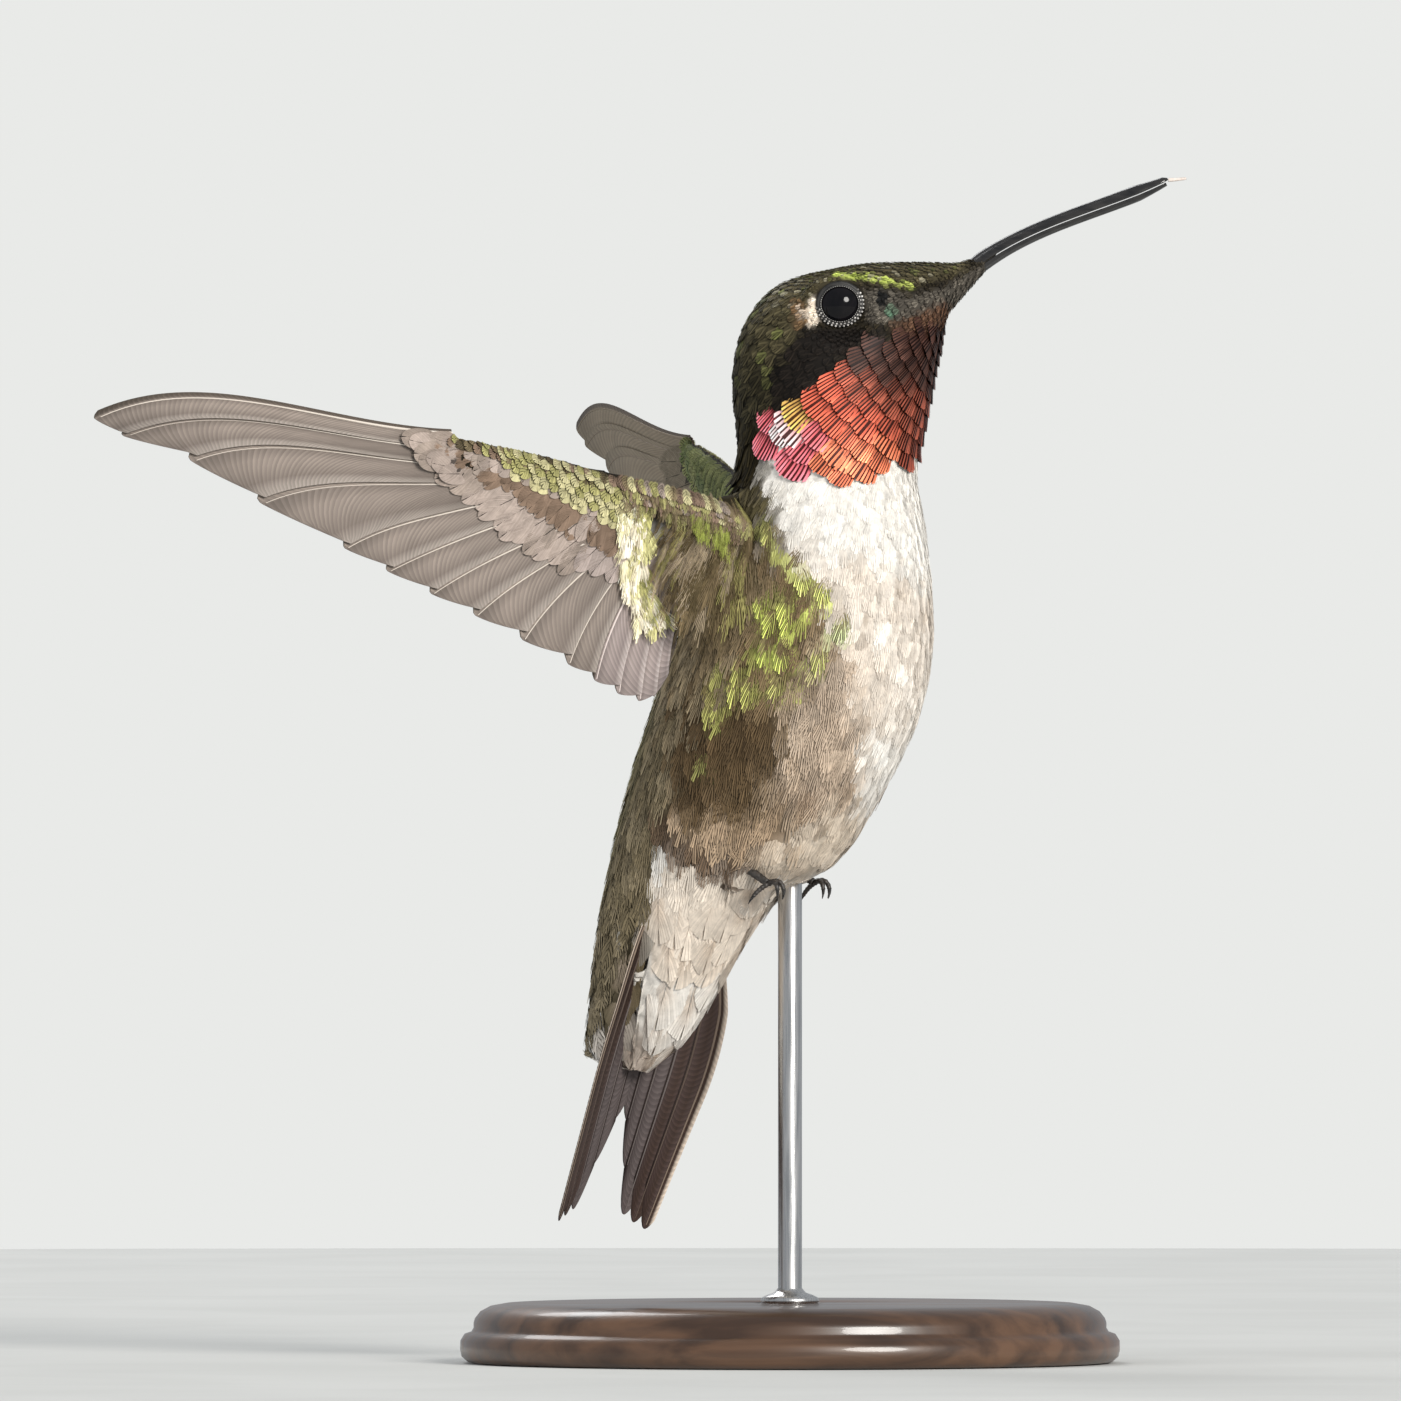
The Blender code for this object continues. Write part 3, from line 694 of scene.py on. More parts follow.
@dataclass
class Markings:
    """Colours of the plumage: broad areas, then green scales, then the small marks of the head."""

    breast: tuple = (0.79, 0.755, 0.7, 0.0)
    head: tuple = (0.022, 0.017, 0.009, 0.1)
    back: tuple = (0.15, 0.138, 0.065, 0.12)
    seed: int = 5
    blotch_count: int = 230
    areas: tuple[Patch, ...] = (
        # flank, its blend to the belly, the low flank and the armpit
        Patch(((-12.7, 44.2), (-8.7, 44.2), (-6, 53.5), (-4.9, 57.5), (-2.5, 58.7), (-1.3, 56.2),
            (-0.1, 53.5), (2.1, 50.9), (3.2, 48.2), (3.5, 44.2), (3.7, 40.2), (3.4, 36.5), (1.5, 33.6),
            (-0.5, 31.6), (-4.4, 32.2), (-7.1, 33.5), (-8.4, 35.1), (-9.8, 36.3), (-12.7, 36.5)),
            (0.165, 0.115, 0.062), 0, 1.0),
        Patch(((0.4, 44.2), (2.8, 48.4), (5.9, 47.0), (5.8, 43.5), (5.0, 40.0), (3.7, 36.5), (0.3, 35.4),
            (-1.5, 37.5), (-0.3, 41.2)), (0.44, 0.345, 0.26), 0, 1.5),
        Patch(((-8.8, 43.5), (-4.3, 44.2), (-1.2, 42), (-1.4, 39), (-2.2, 36.9), (-4.6, 35.9),
            (-8.4, 35.6)), (0.092, 0.06, 0.03), 0, 1.3),
        Patch(((-10.7, 46.9), (-9.3, 50.9), (-6.7, 54.9), (-2.3, 54.3), (-1.2, 50.9), (-3, 47.5),
            (-6, 44.5), (-9.3, 43.9)), (0.22, 0.165, 0.095), 0, 0.9),
        # shoulder, low breast, low flank, belly edge
        Patch(((-6.7, 57.5), (-2.7, 59.3), (-1.2, 56.5), (-1.6, 54.1), (-4.7, 54.3), (-6.3, 55.5)),
            (0.1, 0.082, 0.04), 0.15, 0.7),
        Patch(((0.1, 53.5), (5.3, 53.2), (10.5, 50.5), (10.0, 44.0), (7.4, 41.6), (4.1, 42.2), (3.7, 48.2),
            (2, 50.9)), (0.7, 0.62, 0.535), 0, 1.2, 0.85),
        Patch(((-8.2, 35.4), (-5.2, 35.8), (-2, 36.2), (0.4, 35.6), (0.8, 34.2), (-0.5, 31.8), (-4.4, 32.2),
            (-7.1, 33.5)), (0.37, 0.27, 0.18), 0, 0.8),
        Patch(((-2.3, 33.6), (0.9, 35.4), (4.5, 37.5), (5.2, 35.2), (3, 31.9), (-2.3, 31.5)),
            (0.6, 0.51, 0.41), 0, 0.9),
        # back, ends of the undertail
        Patch(((-16.7, 19.9), (-14.3, 30.9), (-13.3, 38.9), (-12.1, 43.9), (-10, 44.9), (-8.5, 44.2),
            (-8.1, 40.2), (-8.2, 35.8), (-8.7, 33.8), (-9.2, 30.9), (-9.8, 28), (-11.1, 24), (-12.1, 20.9)),
            (0.17, 0.135, 0.08), 0.12, 0.35),
        Patch(((-12.7, 21.5), (-8.7, 22.2), (-8.1, 19.2), (-10, 17.9), (-12.7, 18.2)), (0.5, 0.43, 0.37), 0,
            0.8),
    )
    # White below the flank's lobe, and a painted shadow in the crease between them.
    creases: tuple[Patch, ...] = (
        # white below the flank's lobe
        Patch(((-8.4, 33.6), (-7.0, 32.7), (-4.4, 31.7), (-2.3, 31.3), (1.5, 31.0), (1.5, 26), (-9.3, 26),
            (-9.2, 31)), (0.68, 0.6, 0.51), 0, 0.2),
        # painted shadow in the crease between the two, where the flank's feathers overhang the undertail
        Patch(((-9.0, 35.8), (-8.0, 35.1), (-6.8, 33.9), (-4.7, 32.9), (-2.3, 32.3), (-2.3, 31.3),
            (-4.9, 31.5), (-7.4, 32.4), (-8.8, 33.4), (-9.6, 34.8)), (0.115, 0.075, 0.048), 0, 0.2, 0.9),
    )
    greens: tuple = (
        # groups of glossy scales on the flank: middle, half sizes and tint
        ((1.2, 50.6, 1.5, 1.4), (0.72, 0.8, 0.21)),
        ((-0.9, 49.2, 1.9, 1.3), (0.63, 0.71, 0.16)),
        ((-1.1, 47.0, 1.7, 1.3), (0.61, 0.7, 0.16)),
        ((1.4, 46.2, 1.0, 0.8), (0.58, 0.63, 0.19)),
        ((3.0, 48.5, 0.8, 0.7), (0.7, 0.8, 0.42)),
        ((-3.8, 44.6, 1.6, 1.1), (0.58, 0.6, 0.17)),
        ((-0.5, 44.3, 1.4, 0.8), (0.6, 0.61, 0.2)),
        ((-4.9, 42.8, 0.9, 1.2), (0.46, 0.46, 0.14)),
        ((-5.6, 39.2, 0.7, 0.6), (0.36, 0.36, 0.12)),
    )
    streak: Patch = Patch(((-2.8, 55.4), (-1.7, 55.4), (0.9, 52.2), (-0.1, 51.8)), (0.62, 0.64, 0.2), 0.3,
        0.3, 0.8)
    face: tuple[Patch, ...] = (
        # crown, brow and forehead
        Patch(((-4.1, 61.5), (-4.3, 65.5), (-3.7, 68.9), (-1.7, 71.9), (1, 73.4), (4.7, 74.1), (12.3, 74.4),
            (11.5, 72.7), (7.7, 71.5), (4, 72.1), (1.7, 71.6), (0.7, 69.7), (0.4, 67.7), (-0.9, 65.2),
            (-1.9, 62.2)), (0.105, 0.088, 0.046), 0.3, 0.3),
        Patch(((3.0, 72.7), (5.2, 72.5), (7.7, 71.95), (8.2, 71.5), (5.2, 72.05), (2.8, 72.4)),
            (0.5, 0.58, 0.13), 0.55, 0.1),
        # lore, its dark spot, the green at the gape, chin and cheek
        Patch(((4.8, 71.4), (6.3, 71.5), (7.7, 71), (10, 71.6), (13.5, 73.6), (12.5, 71.5), (10.6, 69.9),
            (6.8, 69.2), (5.1, 69.3)), (0.105, 0.092, 0.074), 0.1, 0.25),
        Patch(((5.7, 71.5), (6.5, 71.4), (6.4, 70.1), (5.7, 70.1)), (0.008, 0.008, 0.008), 0, 0.12),
        Patch(oval(6.6, 69.9, 0.3, 0.45), (0.09, 0.19, 0.12), 0.3, 0.12, 0.8),
        Patch(((6.7, 69.1), (10.3, 70.6), (11.3, 68.9), (9.3, 67.5), (7, 67.9)), (0.12, 0.062, 0.036), 0.3,
            0.4),
        Patch(((-1.7, 63.4), (-1.3, 66.2), (0.7, 68.7), (2.8, 68.9), (4.7, 68.8), (6.3, 68.5), (4.8, 67.7),
            (3.5, 67), (2.1, 65.7), (0.7, 64.3)), (0.011, 0.008, 0.006), 0, 0.3),
        # white behind the eye with brown behind it, and the neck's side
        Patch(((-0.3, 70.6), (0.9, 70.7), (1.1, 69.2), (0.3, 68.9)), (0.2, 0.12, 0.06), 0, 0.25),
        Patch(((1.25, 71.0), (1.7, 70.9), (1.85, 70.1), (1.85, 69.2), (1.2, 68.95), (1.0, 69.6)),
            (0.82, 0.7, 0.57), 0, 0.15),
        Patch(oval(0.7, 69.9, 0.3, 0.35), (0.6, 0.5, 0.4), 0, 0.1, 0.8),
        Patch(((-4.5, 62.1), (-2, 62.2), (-1.9, 59.5), (-2.5, 57.5), (-4.7, 57.2)), (0.032, 0.024, 0.009),
            0.1, 0.4),
    )

    @cached_property
    def blotches(self) -> Array:
        """Soft lighter and darker spots of the flank: x, z, half sizes and strength."""
        rng, count = np.random.default_rng(self.seed), self.blotch_count
        return np.column_stack([rng.uniform(-9, 10, count), rng.uniform(31, 56, count),
            rng.uniform(0.3, 0.65, count), rng.uniform(0.5, 1.1, count), rng.uniform(-1, 1, count)])

    def at(self, p: Array, rng: np.random.Generator | None = None) -> Array:
        """Colour and gloss at points of the body.

        Args:
            p: points, one to a row.
            rng: random source for ragged edges and odd feathers, or None for a plain answer.

        Returns:
            Linear colour and gloss, (n, 4).
        """
        turn = np.abs(STANCE.body_place(p)[1])
        plain = fine = profile = STANCE.profile(p)
        odd = np.full(len(p), 0.5)
        if rng is not None:
            fine = profile + rng.normal(0, 0.06, profile.shape)
            profile = profile + rng.normal(0, 0.45, profile.shape)
            odd = rng.random(len(p))
        z = p[:, 2]
        colour = np.tile(vec(*self.breast), (len(p), 1))
        for patch in self.areas:
            colour = patch.over(colour, profile)
        off = (plain[:, None] - self.blotches[None, :, :2]) / self.blotches[:, 2:4]
        blotch = (np.exp(-(off ** 2).sum(-1)) * self.blotches[:, 4]).sum(1)
        flank = smooth(-8, 1, plain[:, 0]) * (1 - 0.75 * smooth(52, 55, z)) * (z > 31)
        edge = smooth(4.5, 7.5, plain[:, 0]) * smooth(36, 40, z) * (1 - smooth(49, 52, z))
        gain = np.clip(blotch, -1, 1) * (0.3 * flank) - np.clip(-blotch, 0, 1) * 0.15 * edge
        colour[:, :3] *= 1 + gain[:, None] * vec(0.85, 1.0, 1.15)
        # the white below the flank's lobe, then the painted shadow of the crease
        for patch in self.creases:
            colour = patch.over(colour, fine)
        groups = (Patch(oval(*place), tint, 0.3, 0.4, 0.9) for place, tint in self.greens)
        for patch in (*groups, self.streak):
            colour = patch.over(colour, fine, (odd > 0.36)[:, None])
        rear = smooth(2.5, 2.95, turn)[:, None]
        colour = mix(colour, vec(*self.back), rear * (z > 18)[:, None])
        frayed = ((odd < 0.3) & (turn > 1.8) & (z > 18) & (z < 47))[:, None]
        colour = mix(colour, vec(0.26, 0.21, 0.135, 0.1), frayed * 0.6)
        upper = smooth(58.0, 60.0, z + 0.35 * np.clip(fine[:, 0] + 2.0, -3.2, 0) ** 2)[:, None]
        throat = (smooth(-2.4, -1.7, fine[:, 0]) * (1 - smooth(61.0, 61.6, z)))[:, None]
        colour = mix(colour, vec(*self.head), upper * (1 - throat))
        for patch in self.face:
            colour = patch.over(colour, fine)
        crown = inside_by(self.face[0].outline, fine) > 0.2
        colour[:, :3] *= mix(1, mix(0.4, 1.0, smooth(64, 71.5, z)), crown)[:, None]
        glint = (crown & (odd > 0.84))[:, None]
        colour = mix(colour, vec(0.15, 0.165, 0.05, 0.4), glint * (smooth(62, 69, z) * 0.6)[:, None])
        pale = (crown & (odd < 0.12) & (z > 70.2))[:, None]
        return mix(colour, vec(0.34, 0.31, 0.22, 0.3), pale * 0.7)


# ---------- small feathers


@dataclass
class Feather:
    """Ready-cut feather: points in shares of length and half width, and its shading."""

    ab: Array
    high: Array
    under: Array
    light: Array
    faces: Array


@dataclass(frozen=True)
class FeatherCut:
    """Barbs and outline of one kind of small feather."""

    barbs: int = 7
    steps: int = 3
    fill: float = 0.86
    rag: float = 0.1
    sweep: float = 0.45
    first: float = 112.0
    contrast: float = 0.12
    relief: float = 0.03
    root: tuple[float, float] = (0.1, 0.6)
    backing: bool = False
    bloom: float = 0.0
    fan: bool = False
    rim: float = 0.0
    back: float = 0.35

    def curve(self, turn: Array, t: Array) -> Array:
        """Points of the barb that ends at a turn of the outline, t of the way along it.

        Args:
            turn: where on the outline the barb ends, as an angle, or across a fan as -1 to 1.
            t: shares of the way along the barb.

        Returns:
            Shares of the feather's length and half width.
        """
        if self.fan:
            end = np.stack([0.76 + 0.24 * np.sqrt(1 - turn ** 2), turn], -1)
            base = np.stack([0.1 + 0 * turn, 0.4 * turn], -1)
            bend = np.stack([0.5 * end[..., 0], 0.85 * turn], -1)
        else:
            end = np.stack([0.5 + 0.5 * np.cos(turn), np.sin(turn)], -1)
            start = np.maximum(end[..., 0] - self.sweep * (0.4 + 0.6 * end[..., 1]), 0)
            base = np.stack([start, 0 * start], -1)
            bend = np.stack([start + 0.25 * (end[..., 0] - start), 0.55 * end[..., 1]], -1)
        t = t[..., None]
        return (1 - t) ** 2 * base + 2 * t * (1 - t) * bend + t * t * end

    def cut(self, rng: np.random.Generator) -> Feather:
        """Cut one feather with its own small irregularities.

        Args:
            rng: random source for the barbs' ends and shades.

        Returns:
            The feather.
        """
        ab, high, light, faces = [], [], [], []
        stops = np.radians(np.linspace(self.first, 3.0, self.barbs + 1))
        if self.fan:
            stops = np.linspace(0.985, 0.0, self.barbs + 1)
        count = 0
        for sign in (1, -1):
            for k in range(self.barbs):
                far = stops[k] + (stops[k + 1] - stops[k]) * self.fill
                end = 1 - self.rag * rng.random()
                t = np.linspace(0.04, end, self.steps + 1)
                for edge, turn in ((0, stops[k]), (1, far)):
                    row = self.curve(np.full(len(t), turn), t)
                    row[:, 1] *= sign
                    ab.append(row)
                    high.append(np.full(len(t), self.relief * (0.5 - edge)) * t)
                    gain = 1 + self.contrast * (1 if k % 2 else -1) + 0.08 * rng.normal()
                    light.append(gain * (1 + self.rim * smooth(0.8, 1.0, t)))
                n = len(t)
                for i in range(self.steps):
                    quad = [count + i, count + i + 1, count + n + i + 1, count + n + i]
                    faces.append(quad if sign < 0 else quad[::-1])
                count += 2 * n
        barb_points = count
        if self.backing:
            x = np.linspace(0.15, 0.96 if self.fan else 0.93, 5)
            full = 1 - (np.maximum(x - 0.76, 0) / 0.24 if self.fan else 2 * x - 1) ** 2
            half = 0.93 * np.sqrt(np.maximum(full, 0.02))
            ab.append(np.stack([np.repeat(x, 3), np.outer(half, (-1, 0, 1)).ravel()], -1))
            high.append(np.full(15, -1.4 * self.relief))
            light.append(np.full(15, self.back))
            faces += [[count + 3 * i + j + step for step in (0, 3, 4, 1)] for i in range(4)
                for j in range(2)]
        ab = np.concatenate(ab)
        under = 1 - smooth(self.root[0], self.root[1], ab[:, 0])
        if self.bloom:
            under = self.bloom * np.exp(-((ab[:, 0] - 0.5) / 0.3) ** 2 - (ab[:, 1] / 0.45) ** 2)
        under[barb_points:] = 1
        faces = np.array(faces)
        x, y = ab[faces, 0], ab[faces, 1]
        area = (x * np.roll(y, -1, 1) - np.roll(x, -1, 1) * y).sum(1)
        faces[area < 0] = faces[area < 0][:, ::-1]
        return Feather(ab, np.concatenate(high), under, np.concatenate(light), faces)


class Drape:
    """A surface that feathers lie along."""

    def __init__(self, points: Array, faces: list) -> None:
        """Index a mesh given in millimetres."""
        self.tree = BVHTree.FromPolygons(points.tolist(), faces)

    def settle(self, p: Array) -> tuple[Array, Array]:
        """Nearest places of the surface, and its normals there."""
        found = [self.tree.find_nearest(q) for q in p.reshape(-1, 3).tolist()]
        place = np.array([f[0] for f in found]).reshape(p.shape)
        normal = np.array([f[1] for f in found]).reshape(p.shape)
        return place, normal

    def cast(self, p: Array, way: Array, reach: float) -> tuple[Array, Array, Array]:
        """Where rays meet the surface.

        Args:
            p: starts of the rays.
            way: their one direction.
            reach: how far they go.

        Returns:
            Places, normals, and whether each ray met the surface.
        """
        way = Vector(way)
        found = [self.tree.ray_cast(q, way, reach) for q in p.reshape(-1, 3).tolist()]
        met = np.array([f[0] is not None for f in found])
        place = np.array([f[0] or (0, 0, 0) for f in found])
        normal = np.array([f[1] or (0, 0, 1) for f in found])
        return place.reshape(p.shape), normal.reshape(p.shape), met.reshape(p.shape[:-1])


@dataclass
class Bed:
    """Roots of feathers ready to be laid: one row to a feather."""

    root: Array
    normal: Array
    lie: Array
    length: Array
    width: Array
    lift: Array
    colour: Array
    under: Array
    unwrap: Array

    def part(self, keep: Array) -> "Bed":
        """The chosen feathers."""
        return Bed(*(getattr(self, name)[keep] for name in self.__dataclass_fields__))


@dataclass
class Thatch:
    """Lays feathers of one cut over a surface."""

    cut: FeatherCut
    drape: Drape
    rng: np.random.Generator
    kinds: int = 5
    bury: float = 0.07
    dome: float = 0.12
    settle: Callable[[Array], tuple[Array, Array]] | None = None
    stops: tuple[float, ...] = (0.0, 0.25, 0.5, 0.75, 1.0)

    def weights(self, ab: Array) -> Array:
        """Shares of the fifteen resting places that make up each point of a feather."""
        a = np.clip(ab[:, 0], 0, 1) * 4
        i = np.minimum(a.astype(int), 3)
        u = a - i
        b = np.clip(ab[:, 1], -1, 1)
        out = np.zeros((len(ab), 5, 3))
        row = np.arange(len(ab))
        for step, share in ((0, 1 - u), (1, u)):
            out[row, i + step, 0] = share * np.maximum(-b, 0)
            out[row, i + step, 1] = share * (1 - np.abs(b))
            out[row, i + step, 2] = share * np.maximum(b, 0)
        return out.reshape(len(ab), 15)

    def lay(self, bed: Bed, sheaf: Sheaf) -> None:
        """Lay every feather of a bed and add it to a sheaf.

        Args:
            bed: the feathers' roots, sizes and colours.
            sheaf: the piece they go to.
        """
        way = along(bed.lie, bed.normal)
        side = np.cross(bed.normal, way)
        a = np.array(self.stops)[None, :, None, None]
        b = vec(-1, 0, 1)[None, None, :, None]
        rest = (bed.root[:, None, None] + a * (bed.length[:, None] * way)[:, None, None] + b
            * (bed.width[:, None] / 2 * side)[:, None, None])
        place, normal = (self.settle or self.drape.settle)(rest)
        rise = bed.lift[:, None, None, None] * (a ** 0.85 - self.dome * b * b) - self.bury * (1 - a)
        place = (place + normal * rise).reshape(len(bed.root), 15, 3)
        normal = normal.reshape(len(bed.root), 15, 3)
        for kind in range(self.kinds):
            pick = np.arange(kind, len(bed.root), self.kinds)
            if not len(pick):
                continue
            feather = self.cut.cut(self.rng)
            share = self.weights(feather.ab)
            points = np.einsum("vk,nkc->nvc", share, place[pick])
            out = unit(np.einsum("vk,nkc->nvc", share, normal[pick]))
            points += out * feather.high[None, :, None]
            blend = feather.under[None, :, None]
            colour = mix(bed.colour[pick][:, None], bed.under[pick][:, None], blend)
            colour[..., :3] *= feather.light[None, :, None]
            patch = (feather.ab[:, ::-1] - vec(0, 0.5)) * vec(0.0015, 0.003)
            unwrap = bed.unwrap[pick][:, None] + patch[None]
            n, v = points.shape[:2]
            faces = feather.faces[None] + (np.arange(n) * v)[:, None, None]
            sheaf.add(points.reshape(-1, 3), faces.reshape(-1, 4), colour.reshape(-1, 4),
                unwrap.reshape(-1, 2))


def scatter(points: Array, spacing: Array) -> Array:
    """Thin out random points so that none is nearer another than its spacing.

    Args:
        points: candidates in random order.
        spacing: least distance for each.

    Returns:
        Numbers of the points kept.
    """
    cell = float(spacing.max())
    grid: dict[tuple, list[int]] = {}
    keys = np.floor(points / cell).astype(int)
    kept: list[int] = []
    places = points.tolist()
    for n, (key, place, gap) in enumerate(zip(keys.tolist(), places, spacing.tolist())):
        near = [m for i in (-1, 0, 1) for j in (-1, 0, 1) for k in (-1, 0, 1)
            for m in grid.get((key[0] + i, key[1] + j, key[2] + k), ())]
        limit = gap * gap
        x, y, z = place
        if all((x - places[m][0]) ** 2 + (y - places[m][1]) ** 2 + (z - places[m][2]) ** 2
               > limit for m in near):
            grid.setdefault(tuple(key), []).append(n)
            kept.append(n)
    return np.array(kept, int)


# ---------- skin


@dataclass
class Skin:
    """One skin over all the flesh, inside the solid parts by the depth of the coat."""

    voxel: float = 0.28
    close: float = 0.15
    coat: float = 0.34
    wing_coat: float = 0.16
    face_coat: float = 0.16
    # The back of the head stands out a little: its middle, reach and rise.
    nape: tuple[float, float] = (-2.2, 70.6)
    nape_reach: float = 4.5
    nape_rise: float = 0.6
    parts: tuple[str, ...] = ("head", "neck", "trunk", "rump", "uppertail_coverts", "undertail_coverts",
        "wing_right_arm", "wing_left_arm", "wing_right_hand", "wing_left_hand")

    def build(self, nodes: dict, markings: Markings, finish: PlumageFinish) -> bpy.types.Object:
        """Join, close and draw in the flesh parts, and mark the skin like the coat.

        Args:
            nodes: the frame's objects by name.
            markings: the plumage's colours.
            finish: the skin's finish.

        Returns:
            The skin's object.
        """
        bm = bmesh.new()
        for name in self.parts:
            bm.from_mesh(nodes[name].data)
        self.folds(bm)
        bmesh.ops.remove_doubles(bm, verts=bm.verts, dist=0.004 * MM)
        bmesh.ops.triangulate(bm, faces=bm.faces)
        bm.normal_update()
        spread = [v.co + v.normal * self.close * MM for v in bm.verts]
        for vert, place in zip(bm.verts, spread):
            vert.co = place
        rough = bpy.data.meshes.new("flesh")
        bm.to_mesh(rough)
        bm.free()
        helper = link("flesh", rough)
        remesh = helper.modifiers.new("Close", "REMESH")
        remesh.mode = "VOXEL"
        remesh.voxel_size = self.voxel * MM
        ease = helper.modifiers.new("Ease", "SMOOTH")
        ease.factor, ease.iterations = 0.5, 6
        shape = helper.evaluated_get(bpy.context.evaluated_depsgraph_get())
        mesh = bpy.data.meshes.new_from_object(shape)
        bpy.data.objects.remove(helper)
        mesh.name = "skin"
        places = rows_of(mesh.vertices, "co") / MM
        normals = rows_of(mesh.vertex_normals, "vector")
        wing = np.zeros(len(places), bool)
        for side in Side:
            span, chord = STANCE.wing_coords(side, places).T
            wing |= (span > 3.4) & (chord > -8) & (chord < 6)
        depth = self.close + np.where(wing, self.wing_coat, self.coat)
        depth -= (self.coat - self.face_coat) * smooth(57.0, 61.0, places[:, 2])
        off = (places[:, (0, 2)] - vec(*self.nape)) / self.nape_reach
        depth -= self.nape_rise * np.exp(-(off ** 2).sum(1))
        places -= normals * depth[:, None]
        for side in Side:
            off = places - Eye(side).middle
            out = -side.value * off[:, 1]
            dish = 1.0 + 1.2 * smooth(1.3, 3.2, np.hypot(off[:, 0], off[:, 2]))
            lower = (out > dish) & (np.hypot(off[:, 0], off[:, 2]) < 3.2)
            places[:, 1] += np.where(lower, side.value * (out - dish), 0)
        mesh.vertices.foreach_set("co", (places * MM).astype(np.float32).ravel())
        colours = markings.at(places)
        # The skin takes the coat's markings, darker: painted shade where it shows between the feathers.
        colours[:, :3] *= mix(0.55, 0.85, smooth(0.2, 0.6, colours[:, 1]))[:, None]
        colours[:, 3] = 0
        paint(mesh, colours)
        mesh.update()
        return place_piece("skin", mesh, finish.make(), "body_feathers", *self.parts)

    @staticmethod
    def folds(bm: bmesh.types.BMesh) -> None:
        """Add the sleeve that carries the face onto the bill, and a fold round each eye."""
        turn = turns(24)
        rows = []
        for x, top, low, wide in ((10.4, 73.42, 69.3, 1.65), (11.2, 73.56, 70.3, 1.4),
                (12.0, 73.78, 71.2, 1.18), (12.7, 74.05, 72.0, 0.98), (13.4, 74.3, 72.8, 0.8),
                (13.9, 74.4, 73.3, 0.66)):
            middle, half = (top + low) / 2, (top - low) / 2
            rows.append(np.stack([x + 0.15 * np.sin(turn), STANCE.neck_y + wide * np.cos(turn),
                middle + half * np.sin(turn)], -1))
        verts, made = bridge(bm, np.array(rows) * MM, False)
        made += [bm.faces.new(verts[0]), bm.faces.new(verts[-1][::-1])]
        for side in Side:
            rim = [Eye(side).middle + vec(1.8 * cos(a), -side.value * 0.6, 1.68 * sin(a)) + 0.5
                * (np.cos(turn)[:, None] * vec(cos(a), 0, sin(a)) + np.sin(turn)[:, None] * vec(0, 1, 0))
                for a in turns(32)]
            made += bridge(bm, np.array(rim) * MM, True)[1]
        bmesh.ops.recalc_face_normals(bm, faces=made)

    @staticmethod
    def surface(skin: bpy.types.Object) -> tuple[Array, Array]:
        """Points in millimetres and triangles of the skin."""
        mesh = skin.data
        mesh.calc_loop_triangles()
        corners = rows_of(mesh.loop_triangles, "vertices", np.int32)
        return rows_of(mesh.vertices, "co") / MM, corners


# ---------- coat of the body


